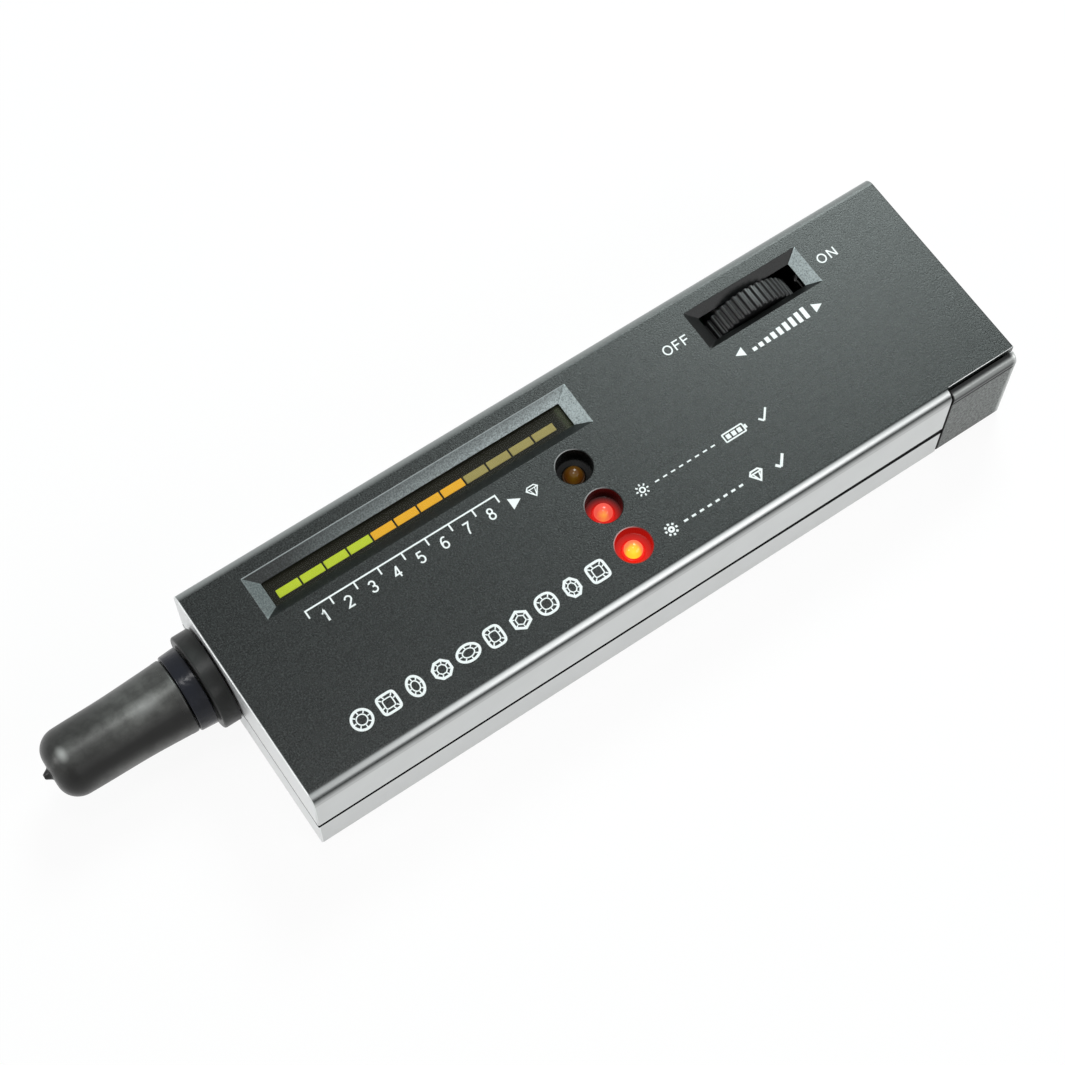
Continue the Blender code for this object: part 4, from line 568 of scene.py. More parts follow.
def moulded_finish(name, low, high, roughness, grain=0.15, wave=0.0, gloss=0.5):
    """Plain moulded plastic: two close tones, a fine grain and, if asked, slow waves."""
    f = Finish(name)
    speck = f.noise(grain * MM, 4.0, 0.65)
    swell = f.noise(2.2 * MM, 2.0)
    colour = f.blend(speck * 0.6 + swell * 0.4, low, high)
    bump = f.bump(speck * 0.06 + swell * wave, 0.2 * MM, 0.4)
    return f.surface(colour, speck * 0.12 + roughness, 0.0, bump, Specular_IOR_Level=gloss)


def metal_finish(name, low, high, roughness, stretch=(1, 1, 1)):
    """Bare metal with drawn or turned lines, as long as stretch says."""
    f = Finish(name)
    lines = f.noise(0.08 * MM, 4.0, 0.6, stretch)
    stain = f.noise(2.0 * MM, 3.0)
    colour = f.blend(stain, low, high)
    return f.surface(colour, lines * 0.22 + roughness, 1.0, f.bump(lines, 0.008 * MM, 0.4))


def ink_finish():
    """White printing ink, a little thin in places."""
    f = Finish("white_ink")
    thin = f.noise(0.14 * MM, 4.0, 0.7)
    colour = f.ramp(thin, (0.25, (0.66, 0.69, 0.69)), (0.55, (0.86, 0.88, 0.88)))
    return f.surface(colour, thin * 0.15 + 0.42, 0.0, f.bump(thin, 0.004 * MM, 0.4))


def board_finish():
    """Green board: lighter bands over its tracks, with tinned pads on them."""
    f = Finish("green_board")
    bands = {"Vector": f.place, "Scale": 210.0, "Distortion": 3.0, "Detail": 1.0, "Detail Scale": 0.6}
    wave = f.node("ShaderNodeTexWave", {"wave_type": "BANDS", "bands_direction": "Y"}, bands)
    track = wave.step(0.55, 0.62)
    spots = {"Vector": f.place, "Scale": 390.0, "Randomness": 0.35}
    pad = f.node("ShaderNodeTexVoronoi", {"feature": "F1"}, spots).step(0.24, 0.2) * track
    weave = f.noise(0.4 * MM, 3.0)
    green = f.blend(track, (0.012, 0.090, 0.035), (0.030, 0.170, 0.060))
    colour = f.blend(pad, green, (0.62, 0.61, 0.58))
    bump = f.bump(track * 0.6 + pad + weave * 0.1, 0.04 * MM, 0.5)
    return f.surface(colour, weave * 0.15 + 0.3, pad * 0.9, bump)


def chip_finish(name, legs_below):
    """Black moulded body over tinned legs, parted at the height where the legs leave it."""
    f = Finish(name)
    speck = f.noise(0.12 * MM, 4.0, 0.7)
    body = f.z.step(legs_below - 0.1 * MM, legs_below)
    colour = f.blend(body, (0.55, 0.55, 0.53), f.blend(speck, (0.012, 0.012, 0.013), (0.030, 0.030, 0.032)))
    return f.surface(colour, speck * 0.2 + 0.3, (1 - body) * 0.95, f.bump(speck, 0.02 * MM, 0.5))


def capacitor_finish():
    """Printed sleeve with a pale stripe, and a bare aluminium top."""
    f = Finish("capacitor_sleeve")
    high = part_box("capacitor_1")[1].z
    top = f.z.step(high - 0.35 * MM, high - 0.25 * MM)
    stripe = abs(f.y - middle("capacitor_1").y).step(0.9 * MM, 0.8 * MM)
    speck = f.noise(0.2 * MM, 3.0)
    sleeve = f.blend(stripe, (0.012, 0.024, 0.110), (0.42, 0.46, 0.50))
    colour = f.blend(top, sleeve, (0.62, 0.62, 0.63))
    return f.surface(colour, speck * 0.15 + 0.28, top * 0.9, f.bump(speck, 0.02 * MM, 0.3))


def battery_finish():
    """Block battery: a steel jacket printed in two plain bands, with bare terminals."""
    f = Finish("battery_jacket")
    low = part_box("battery")[0]
    along = f.x - (low.x + 2.6 * MM)
    band = along.step(13.0 * MM, 13.2 * MM)
    bare = along.step(0.1 * MM, 0.0)
    speck = f.noise(0.25 * MM, 4.0, 0.6)
    dents = f.noise(9 * MM, 2.0)
    printed = f.blend(band, (0.62, 0.40, 0.13), (0.020, 0.021, 0.024))
    colour = f.blend(bare, printed, (0.60, 0.60, 0.60))
    bump = f.bump(speck * 0.03 + dents, 0.1 * MM, 0.3)
    return f.surface(colour, speck * 0.16 + 0.24, bare * 0.5 + 0.4, bump)


# Shapes


def grid_faces(rows, columns, rows_close=False, columns_close=True):
    """Quads of a grid of points numbered row by row. A direction that closes joins its end to its start."""
    row = np.arange(rows if rows_close else rows - 1)[:, None]
    column = np.arange(columns if columns_close else columns - 1)[None, :]
    row_after = (row + 1) % rows
    column_after = (column + 1) % columns
    corners = (
        row * columns + column,
        row * columns + column_after,
        row_after * columns + column_after,
        row_after * columns + column,
    )
    return np.stack(np.broadcast_arrays(*corners), axis=-1).reshape(-1, 4)


def mesh_from(name, points, faces):
    """A mesh of points and of faces as lists of point numbers."""
    mesh = bpy.data.meshes.new(name)
    mesh.from_pydata(np.asarray(points, float).reshape(-1, 3).tolist(), [], faces)
    return mesh


def mesh_of(name, shape):
    """The mesh of a bmesh, which ends with it."""
    mesh = bpy.data.meshes.new(name)
    shape.to_mesh(mesh)
    shape.free()
    return mesh


def closed_mesh(name, parts):
    """One closed mesh of several (points, faces): its doubles merged and its faces turned outwards."""
    shape = bmesh.new()
    for points, faces in parts:
        part = mesh_from("part", points, faces)
        shape.from_mesh(part)
        bpy.data.meshes.remove(part)
    bmesh.ops.remove_doubles(shape, verts=shape.verts, dist=1e-7)
    bmesh.ops.recalc_face_normals(shape, faces=shape.faces)
    return mesh_of(name, shape)


def capped(loops):
    """Closed solid of a stack of loops: sides between each loop and the next, and a flat cap at each end."""
    rows, columns = loops.shape[:2]
    faces = grid_faces(rows, columns).tolist()
    faces.append(list(range(columns)))
    faces.append(list(range((rows - 1) * columns, rows * columns)))
    return loops.reshape(-1, 3), faces


def unit(vectors):
    """Each of an array's vectors, one long."""
    return vectors / np.linalg.norm(vectors, axis=-1, keepdims=True)


def at_height(loop, z):
    """A loop of points in X and Y, at a height."""
    return np.column_stack((loop, np.full(len(loop), z)))


def at_station(loop, x):
    """A loop of points in Y and Z, at a place along X."""
    return np.column_stack((np.full(len(loop), x), loop))


def stacked(loop, heights):
    """The loop of points in X and Y at each of some heights."""
    return np.array([at_height(loop, z) for z in heights])


def object_of(name, data):
    """An object at the origin that holds a mesh, a camera or a light."""
    obj = bpy.data.objects.new(name, data)
    bpy.context.scene.collection.objects.link(obj)
    return obj


def plain_mesh(obj):
    """Works out an object's modifiers and leaves the result as its mesh."""
    bpy.context.view_layer.update()
    graph = bpy.context.evaluated_depsgraph_get()
    mesh = bpy.data.meshes.new_from_object(obj.evaluated_get(graph))
    obj.modifiers.clear()
    obj.data = mesh


def combine(obj, parts, operation):
    """Joins, cuts or limits an object with closed parts or meshes, one after the other."""
    for part in parts:
        mesh = part if isinstance(part, bpy.types.Mesh) else closed_mesh("tool", [part])
        tool = object_of("tool", mesh)
        modifier = obj.modifiers.new("combine", "BOOLEAN")
        modifier.operation = operation
        modifier.solver = "EXACT"
        modifier.object = tool
        plain_mesh(obj)
        bpy.data.objects.remove(tool, do_unlink=True)


def smooth(obj, angle=32):
    """Smooth shading up to an angle, with each corner's normal taken mostly from its largest face."""
    obj.data.shade_smooth()
    obj.data.set_sharp_from_angle(angle=math.radians(angle))
    modifier = obj.modifiers.new("even shading", "WEIGHTED_NORMAL")
    modifier.keep_sharp = True
    modifier.weight = 60
    plain_mesh(obj)


def finished(obj, material, body, slot, *nodes):
    """Gives a piece its material and its body, and hides the CAD nodes that it stands for.
    The slot is not used.
    """
    obj.data.materials.clear()
    obj.data.materials.append(material)
    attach(obj, body)
    if nodes:
        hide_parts(*nodes)
    return obj


def piece(name, parts, material, body, slot, *nodes, angle=60):
    """A finished piece of closed parts, with smooth shading up to an angle if there is one."""
    obj = object_of(name, closed_mesh(name, parts))
    if angle:
        smooth(obj, angle)
    return finished(obj, material, body, slot, *nodes)


def node_copy(name, node):
    """A merged copy of a CAD node's loose triangles, with its flat areas as single faces."""
    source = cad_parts[node]
    shape = bmesh.new()
    shape.from_mesh(source.data)
    bmesh.ops.remove_doubles(shape, verts=shape.verts, dist=0.5e-6)
    bmesh.ops.dissolve_limit(shape, angle_limit=math.radians(0.4), verts=shape.verts, edges=shape.edges)
    return object_of(name, mesh_of(name, shape))


def rounded_rectangle(low, high, radii, steps=10):
    """Loop of a rectangle whose corners are quarter circles: corner, less its radius, plus radius times
    (cos a, sin a). The radii go round from the corner of most first and least second coordinate.
    """
    low, high = np.asarray(low, float), np.asarray(high, float)
    radii = np.broadcast_to(np.asarray(radii, float), 4)[:, None]
    corners = np.array([(high[0], low[1]), (high[0], high[1]), (low[0], high[1]), (low[0], low[1])])
    ways = np.array([(1, -1), (1, 1), (-1, 1), (-1, -1)])
    turns = (np.arange(4)[:, None] - 1 + np.linspace(0, 1, steps + 1)[None, :]) * QUARTER
    circle = np.stack((np.cos(turns), np.sin(turns)), axis=-1)
    points = (corners - ways * radii)[:, None, :] + radii[:, None, :] * circle
    return points.reshape(-1, 2)


def rounded_bar(start, end, half, low, high, radii, start_radius, end_radius):
    """Closed bar along X. Its section is a rounded rectangle that shrinks along a quarter circle at each
    end: set in by r (1 - sin a) at a distance r (1 - cos a) from the end.
    """
    turns = np.linspace(0, QUARTER, 9)
    stations = [(start + start_radius * (1 - math.cos(a)), start_radius * (1 - math.sin(a))) for a in turns]
    stations += [(end - end_radius * (1 - math.cos(a)), end_radius * (1 - math.sin(a))) for a in turns[::-1]]
    loops = []
    for x, less in stations:
        shrunk = np.maximum(np.asarray(radii) - less, 0.01 * MM)
        loop = rounded_rectangle((-half + less, low + less), (half - less, high - less), shrunk, 14)
        loops.append(at_station(loop, x))
    return capped(np.array(loops))


def swept(section, start, end):
    """Closed bar of one section in Y and Z between two places along X."""
    return capped(np.array([at_station(section, x) for x in (start, end)]))


def slope_reach(depth, angle, radius):
    """How far a pit's wall has run in at a depth: round a lip of the given radius that meets the top face
    flat, x = r sin a - r tan(angle / 2) at depth r (1 - cos a), then along the slope.
    """
    lip = radius * math.tan(angle / 2)
    turn = np.arccos(np.clip(1 - depth / radius, -1, 1))
    on_lip = radius * np.sin(turn) - lip
    return np.where(turn < angle, on_lip, depth / math.tan(angle))


def pit(corners, lip=0.16 * MM, below=0.35 * MM):
    """Cutter for a bevelled recess: rounded lip, sloped walls that meet in soft mitres, then straight."""
    low, high, bevel = (np.array(v) * MM for v in corners)
    low = low - SKIN
    high = high + SKIN
    angles = [math.atan2(PIT_DEPTH, width) for width in bevel]
    levels = lip * (1 - np.cos(np.linspace(0, max(angles), 7)))
    levels = np.concatenate((levels, np.linspace(levels[-1], PIT_DEPTH, 6)[1:]))
    loops = []
    for level in levels:
        run = np.array([float(slope_reach(level, angle, lip)) for angle in angles])
        corner = (0.45 - 0.25 * level / PIT_DEPTH) * MM
        loops.append(at_height(rounded_rectangle(low + run, high - run, corner, 6), TOP - level))
    above = loops[0] + (0, 0, MM)
    start = loops[0] - (0, 0, 0.001 * MM)
    floor = loops[-1] - (0, 0, below)
    return capped(np.array([above, start] + loops[1:] + [floor]))


def turned(profile, steps=96, ring=False):
    """Surface of revolution about X of (distance along X, radius) points. A ring's profile is a loop."""
    profile = np.asarray(profile, float)
    turns = np.arange(steps) / steps * TURN
    along = np.repeat(profile[:, :1], steps, axis=1)
    radius = profile[:, 1:]
    points = np.stack((along, radius * np.cos(turns), radius * np.sin(turns)), axis=-1)
    return points.reshape(-1, 3), grid_faces(len(profile), steps, ring).tolist()


def stood_up(part, place=(0, 0, 0)):
    """Turns a shape's X axis up to Z and moves it to a place."""
    points, faces = part
    return np.column_stack((points[:, 1], points[:, 2], points[:, 0])) + place, faces


def eased(points, radii, closed=False, steps=6):
    """A polyline with its corners rounded: an arc of the given radius that touches both sides, between
    p + u t and p + v t, where t = r / tan(half the corner's angle). A radius of 0 keeps the corner.
    """
    points = np.asarray(points, float)
    radii = np.broadcast_to(np.asarray(radii, float), len(points))
    out = []
    for index, (point, radius) in enumerate(zip(points, radii)):
        if radius == 0 or (not closed and index in (0, len(points) - 1)):
            out.append(point[None])
            continue
        u = unit(points[index - 1] - point)
        v = unit(points[(index + 1) % len(points)] - point)
        half = math.acos(float(np.clip(u @ v, -1, 1))) / 2
        centre = point + unit(u + v) * radius / math.sin(half)
        sweep = math.pi - 2 * half
        share = np.linspace(0, 1, steps + 1)[:, None]
        first = point + u * radius / math.tan(half) - centre
        last = point + v * radius / math.tan(half) - centre
        arc = (np.sin((1 - share) * sweep) * first + np.sin(share * sweep) * last) / math.sin(sweep)
        out.append(centre + arc)
    return np.concatenate(out)


def eased_mm(points, radii, closed=False, steps=6):
    """eased() for points and radii in millimetres."""
    return eased(np.array(points) * MM, np.array(radii) * MM, closed, steps)


def tube(path, radius, sides=14, reference=(0, 1, 0)):
    """Round wire along a path: each ring is p + r (n cos a + b sin a), with b across the path's own way
    and the reference, and n across both.
    """
    path = np.asarray(path, float)
    way = unit(np.gradient(path, axis=0))
    across = unit(np.cross(way, reference))
    upright = np.cross(across, way)
    turns = np.arange(sides) / sides * TURN
    ring = across[:, None] * np.sin(turns)[None, :, None] + upright[:, None] * np.cos(turns)[None, :, None]
    return capped(path[:, None] + radius * ring)


# Housing


def well_cutter(x, y, tip):
    """A lamp's hole in its seat, and the well above it with a rounded lip that meets the top face flat."""
    lip = 0.14 * MM
    seat = tip - LAMP_SEAT_DROP - 0.01 * MM
    base = seat - 2 * MM
    profile = [(base, 0), (base, LAMP_HOLE), (seat - 0.12 * MM, LAMP_HOLE), (seat, LAMP_HOLE + 0.12 * MM)]
    profile += [(seat, WELL_RADIUS - 0.2 * MM), (seat + 0.2 * MM, WELL_RADIUS), (TOP - lip, WELL_RADIUS)]
    for turn in np.linspace(0, QUARTER, 6)[1:]:
        profile.append((TOP - lip + lip * math.sin(turn) * 0.99, WELL_RADIUS + lip * (1 - math.cos(turn))))
    profile += [(TOP + MM, WELL_RADIUS + lip), (TOP + MM, 0)]
    return stood_up(turned(profile, 96), (x, y, 0))


def plate_edge_cutter():
    """Rounds the roof plate's near edge over the cover: the corner square less its quarter circle."""
    r = 0.15 * MM
    out = 0.5 * MM
    turns = np.linspace(0, QUARTER, 6)
    arc = [(PLATE_HALF - r + r * math.sin(a), TOP - r + r * math.cos(a)) for a in turns]
    corner = [(PLATE_HALF + out, TOP - r), (PLATE_HALF + out, TOP + out), (PLATE_HALF - r, TOP + out)]
    return swept([(-y, z) for y, z in arc + corner], CASE_END, REAR + out)


def seam_groove(side):
    """Cutter for the groove under one long side's seam, which opens towards the cover."""
    inner, outer = side * (HALF_WIDTH - SEAM_DEPTH), side * (HALF_WIDTH + 0.5 * MM)
    high = SEAM_TOP + SEAM_RISE
    loops = []
    for x, fall in SEAM_OPENING:
        low = SEAM_LOW - fall * MM
        loops.append([(x * MM, y, z) for y, z in ((inner, low), (outer, low), (outer, high), (inner, high))])
    return capped(np.array(loops))


def joint_gap(side):
    """Cutter that sets the case's end back on one side, so that the joint with the cover stands open."""
    inner, outer = side * (PLATE_HALF + 0.05 * MM), side * (HALF_WIDTH + 0.5 * MM)
    high = TOP + MM if side < 0 else CEILING - 0.2 * MM
    loop = ((inner, -MM), (outer, -MM), (outer, high), (inner, high))
    return swept(loop, CASE_END - JOINT_GAP, CASE_END + 0.2 * MM)


def side_gaps():
    """Cutters for both sides' grooves and joints."""
    return [gap(side) for gap in (seam_groove, joint_gap) for side in (-1, 1)]


def pit_filler(corners):
    """Slab that fills a recess of the solid before the finer one is cut."""
    low, high, _ = (np.array(v) * MM for v in corners)
    loop = rounded_rectangle(low - 0.3 * MM, high + 0.3 * MM, 0.1 * MM, 2)
    return capped(stacked(loop, (CEILING + 0.05 * MM, TOP - 0.05 * MM)))


def make_upper_case(material):
    """Upper case: its recesses filled, limited by its rounded skin, then cut with the finer openings."""
    case = node_copy("upper_case", "top_shell")
    pits = (DISPLAY_PIT, WHEEL_PIT)
    combine(case, [pit_filler(corners) for corners in pits], "UNION")
    radii = (SEAM_EDGE, EDGE_FILLET, EDGE_FILLET, SEAM_EDGE)
    start, end, half = FRONT + SKIN, REAR - SKIN, HALF_WIDTH - SKIN
    combine(case, [rounded_bar(start, end, half, SEAM_TOP, TOP, radii, SOFT_EDGE, SOFT_EDGE)], "INTERSECT")
    openings = [pit(corners) for corners in pits] + [well_cutter(*lamp_spot(node)) for node in LAMP_SIDES]
    combine(case, openings + [plate_edge_cutter()] + side_gaps(), "DIFFERENCE")
    smooth(case)
    return finished(case, material, "housing", "case", "top_shell")


def make_lower_case(material):
    """Lower case: limited by its rounded skin together with the bar that keeps its inner lips."""
    case = node_copy("lower_case", "bottom_shell")
    radii = (0.6 * MM, SEAM_EDGE, SEAM_EDGE, 0.6 * MM)
    skin = rounded_bar(FRONT + SKIN, CASE_END, HALF_WIDTH - SKIN, SKIN, SEAM_LOW, radii, SOFT_EDGE, 0.05 * MM)
    soft = 0.1 * MM
    lips = rounded_bar(FRONT + 2.5 * MM, CASE_END - MM, INNER_HALF, 2 * MM, 12 * MM, (soft,) * 4, soft, soft)
    limits = object_of("limits", closed_mesh("skin", [skin]))
    combine(limits, [lips], "UNION")
    combine(case, [limits.data.copy()], "INTERSECT")
    bpy.data.objects.remove(limits, do_unlink=True)
    combine(case, side_gaps(), "DIFFERENCE")
    smooth(case)
    return finished(case, material, "housing", "case", "bottom_shell")


def cover_section():
    """Half of the cover's outside in Y and Z: rounded rail, a slack, the ridge bead, then the flat wall."""
    centre = (PLATE_HALF, 17.35 * MM)
    radius = EDGE_FILLET - SKIN
    wall = HALF_WIDTH - 0.15 * MM - SKIN
    out = HALF_WIDTH - SKIN
    turns = np.linspace(QUARTER, 0, 14)
    rail = [(centre[0] + radius * math.cos(a), centre[1] + radius * math.sin(a)) for a in turns]
    bead = [(out - 0.09 * MM, 16.80 * MM), (out, 16.55 * MM), (out, 16.42 * MM), (wall, 16.34 * MM)]
    foot = [(wall, SKIN), (0, SKIN)]
    rail_part = np.array([(0, centre[1] + radius)] + rail)
    rest = eased(bead + foot, (0.2 * MM, 0.06 * MM, 0.05 * MM, 0.03 * MM, 0.5 * MM, 0))
    return np.concatenate((rail_part, rest))


def make_rear_cover(material):
    """Battery cover: limited by its outside's section, and by a bar that rounds its rear end."""
    cover = node_copy("rear_cover", "battery_cover")
    half = cover_section()[1:-1]
    section = np.concatenate((half, (half * (-1, 1))[::-1]))
    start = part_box("battery_cover")[0].x - MM
    radii = (0.55 * MM, EDGE_FILLET, EDGE_FILLET, 0.55 * MM)
    ends = rounded_bar(
        start, REAR - SKIN, HALF_WIDTH - SKIN / 2, SKIN / 2, 19.1 * MM, radii, SEAM_EDGE, 0.5 * MM
    )
    combine(cover, [swept(section, start, REAR + MM), ends], "INTERSECT")
    smooth(cover)
    return finished(cover, material, "battery_cover", "cover", "battery_cover")


def cross_recess(depth):
    """Cutters for a cross recess that faces down: two bars that narrow towards their inner end."""
    reach = np.array((1.15, 0.22)) * MM
    parts = []
    for way in (1, -1):
        loops = []
        for z, share in ((-0.5 * MM, 1.15), (depth, 0.6)):
            loop = rounded_rectangle(-reach * share, reach * share, 0.08 * MM, 3)
            loops.append(at_height(loop[:, ::way], z))
        parts.append(capped(np.array(loops)))
    return parts


def make_screws(material):
    """Four cross-head screws: a domed head over a straight shank with a rounded end."""
    dome, shank = 1.78 * MM, 0.98 * MM
    for number in range(1, 5):
        node = f"housing_screw_{number}"
        low, high = (corner.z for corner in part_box(node))
        neck = low + 1.28 * MM
        head = [(low, 0), (low, 1.15 * MM), (low + 0.75 * MM, dome), (neck, dome), (neck, shank)]
        head += [(high - 1.2 * MM, shank), (high - 0.05 * MM, 0)]
        profile = eased(head, np.array((0, 0.5, 0.25, 0.05, 0.1, 0.4, 0)) * MM)
        screw = object_of(f"screw_{number}", closed_mesh("screw", [stood_up(turned(profile, 48))]))
        combine(screw, cross_recess(low + 0.75 * MM), "DIFFERENCE")
        screw.data.transform(Matrix.Translation((middle(node).x, middle(node).y, 0)))
        smooth(screw)
        finished(screw, material, "housing", "steel", node)


# Lamps and wheel


def lamp_part(x, y, tip):
    """A lamp: half a ball over a body that fills the hole in its seat, and a flange with a rounded rim."""
    foot = tip - LAMP_FOOT_DROP
    neck = tip - LAMP_SEAT_DROP - 0.05 * MM
    flange, shaft = 1.9 * MM, 1.77 * MM
    body = [(foot, 0), (foot, flange), (foot + MM, flange), (foot + MM, shaft), (neck, shaft)]
    body += [(neck, LAMP_RADIUS), (tip - LAMP_RADIUS, LAMP_RADIUS)]
    body = eased(body, np.array((0, 0.1, 0.05, 0.05, 0.1, 0.1, 0)) * MM)
    turns = np.linspace(0, QUARTER, 16)
    dome = np.column_stack((tip - LAMP_RADIUS + LAMP_RADIUS * np.sin(turns), LAMP_RADIUS * np.cos(turns)))
    return stood_up(turned(np.concatenate((body, dome[1:])), 48), (x, y, 0))


def lamp_legs(x, y, tip):
    """Two square legs from the flange down to the board."""
    reach = 0.25 * MM
    heights = (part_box("lamp_ready")[0].z, tip - LAMP_FOOT_DROP - 0.02 * MM)
    parts = []
    for side in (-1.27, 1.27):
        centre = np.array((x, y + side * MM))
        leg = rounded_rectangle(centre - reach, centre + reach, 0.05 * MM, 2)
        parts.append(capped(stacked(leg, heights)))
    return parts


def make_lamps(steel):
    """Three lenses with the legs that carry them."""
    for node, (name, slot, body, stops) in LENSES.items():
        spot = lamp_spot(node)
        lens = lamp_finish(name + "_lens", node, body, stops)
        piece(name, [lamp_part(*spot)], lens, "housing", slot, node, angle=50)
        piece(name + "_legs", lamp_legs(*spot), steel, "housing", "steel", angle=0)


def knurl(turns, teeth, top, root):
    """Height of the knurl at each angle, 0 in a groove and 1 on a ridge, with rounded shoulders:
    the distance from the ridge's middle, as a share of a tooth, runs through a smooth step.
    """
    share = np.abs((turns / TURN * teeth + 0.5) % 1 - 0.5) * 2
    ramp = np.clip((1 - root - share) / (1 - root - top), 0, 1)
    return ramp * ramp * (3 - 2 * ramp)


def make_wheel(material):
    """Thumbwheel: the rim's radius is R less the knurl's depth in each groove, and its sides are dished."""
    low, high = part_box("thumbwheel")
    radius = (high.z - low.z) / 2
    half = (high.y - low.y) / 2
    dish, inner, outer = half - 0.6 * MM, 1.8 * MM, 6.2 * MM
    side = [(dish, inner), (dish, outer), (half, outer), (half, radius)]
    rim = side + [(-y, r) for y, r in side[::-1]]
    corners = (0.1, 0.25, 0.2, 0.32, 0.32, 0.2, 0.25, 0.1)
    profile = eased(rim, np.array(corners) * MM, True, 5)
    teeth, depth = 48, 0.45 * MM
    steps = teeth * 14
    turns = np.arange(steps) / steps * TURN
    near_rim = np.clip((profile[:, 1] - (radius - 1.0 * MM)) / (0.8 * MM), 0, 1)[:, None]
    reach = profile[:, 1:] - depth * near_rim * (1 - knurl(turns, teeth, 0.34, 0.3))[None, :]
    along = np.repeat(profile[:, :1], steps, axis=1)
    points = np.stack((reach * np.cos(turns), along, reach * np.sin(turns)), axis=-1).reshape(-1, 3)
    part = (points + np.array(middle("thumbwheel")), grid_faces(len(profile), steps, True).tolist())
    return piece("knurled_wheel", [part], material, "thumbwheel", "wheel", "thumbwheel")


# Nose and leads


def on_nose(part):
    """Moves a shape turned about X, with distances counted forwards from the front face, to the nose."""
    points, faces = part
    return points * (-1, 1, 1) + (FRONT, NOSE_Y, NOSE_Z), faces


def nose_piece(name, profile, material, body, slot, node, steps=96, ring=False):
    """A piece turned about the nose's axis."""
    return piece(name, [on_nose(turned(profile, steps, ring))], material, body, slot, node, angle=40)


def make_rings(*materials):
    """The collar and the slim ring in front of it."""
    for material, (name, node, slot, (back, front), (wide, narrow), rims) in zip(materials, RINGS):
        points = [(back, RING_BORE), (back, wide), (front, narrow), (front, RING_BORE)]
        profile = eased_mm(points, (0.05, *rims, 0.05), True)
        nose_piece(name, profile, material, "housing", slot, node, 128, True)


def make_barrel(material):
    """The probe's holder: a tube with a flange behind the front wall and a cone round the tip."""
    points = [(-9.0, 3.1), (-9.0, 4.2), (-3.5, 4.2), (-3.5, 5.4), (-2.3, 5.4), (-2.3, 4.2), (6.8, 4.2)]
    points += [(6.8, 4.9), (12.4, 4.9), (17.9, 2.6), (17.9, 1.8), (13.4, 1.8), (13.4, 3.1)]
    radii = (0.1, 0.1, 0.05, 0.1, 0.1, 0.05, 0.05, 0.2, 0.6, 0.25, 0.1, 0.05, 0.1)
    profile = eased_mm(points, radii, True)
    nose_piece("probe_holder", profile, material, "housing", "barrel", "probe_barrel", 96, True)


def make_plunger(steel, copper):
    """The rod with its two shoulders, and the tip that it carries."""
    front, back = ((FRONT - corner.x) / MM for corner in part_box("probe_rod"))
    rod = [(front - 4.0, 0), (front - 4.0, 1.05), (front, 1.05), (front, 1.5), (13.1, 1.5), (13.1, 2.7)]
    rod += [(11.8, 2.7), (11.8, 1.2), (back, 1.2), (back, 0)]
    profile = eased_mm(rod, (0, 0.05, 0.05, 0.2, 0.05, 0.15, 0.15, 0.05, 0.15, 0))
    nose_piece("plunger", profile, steel, "probe", "barrel", "probe_rod", 64)
    front, back = ((FRONT - corner.x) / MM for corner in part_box("probe_tip"))
    tip = [(back, 0), (back, 0.75), (front - 1.2, 0.75), (front, 0.22), (front, 0)]
    nose_piece("copper_tip", eased_mm(tip, (0, 0.1, 0.5, 0.2, 0)), copper, "probe", "copper", "probe_tip", 64)


def make_spring(material):
    """Helix of one wire about the nose's axis: its place along X grows evenly with the turn. On the tester it
    shortens towards its rear end as the plunger is pushed in; here it is built once, at its rest length.
    """
    low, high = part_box("probe_spring")
    wire, radius, coils = 0.25 * MM, 2.2 * MM, 10
    turns = np.linspace(0, coils * TURN, coils * 24 + 1)
    along = np.linspace(low.x + wire, high.x - wire, len(turns))
    path = np.stack((along, NOSE_Y + radius * np.cos(turns), NOSE_Z + radius * np.sin(turns)), axis=-1)
    coil = tube(path, wire, 10, (1, 0, 0))
    spring = piece("return_spring", [coil], material, "housing", "steel", "probe_spring")
    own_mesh(spring)


def cap_profile():
    """Outside of the cap from its mouth forwards, then back along the inside. The dome's radius is its
    flat end's plus a quarter ellipse, and the nub runs out of the dome in a hollow curve.
    """
    mouth, end, rise, tip = 6.62, 29.05, 3.6, 1.08
    bore, wide, flat = 5.2, 6.28, 2.2
    lip = eased([(mouth, bore), (mouth, wide), (mouth + 1.2, 6.24)], (0, 0.34, 0))
    along = np.linspace(mouth + 1.2, end - rise, 16)
    share = (along - mouth) / (end - rise - mouth)
    wall = np.column_stack((along, wide - 0.58 * share ** 0.8 - 0.14 * np.sin(share * math.pi) ** 2))
    turns = np.linspace(0, QUARTER, 18)
    dome = np.column_stack((end - rise + rise * np.sin(turns), flat + 3.5 * np.cos(turns)))
    nub = eased([(end, flat), (end, 1.05), (end + tip, 0.42), (end + tip, 0)], (0, 0.5, 0.3, 0))
    inner = [(end - 1.5, 0), (end - 1.5, 4.45), (12.7, bore), (mouth, bore)]
    inner = eased(inner, (0, 2.0, 1.0, 0))
    parts = (lip, wall, dome[1:], nub[1:], inner[:-1])
    return np.concatenate(parts) * MM


def make_cap(material):
    """Soft cap, turned, with the slight unevenness of a dipped skin: the radius varies by a share of a
    percent with two slow waves of the angle and the length.
    """
    points, faces = turned(cap_profile(), 128, True)
    angle = np.arctan2(points[:, 2], points[:, 1])
    along = points[:, 0] / MM
    wave = 1 + 0.0022 * np.sin(3 * angle + along * 0.5) + 0.0018 * np.sin(2 * angle - along * 0.31)
    points = points * np.column_stack((np.ones(len(wave)), wave, wave))
    return piece("soft_cap", [on_nose((points, faces))], material, "probe_cap", "cap", "probe_cap", angle=50)


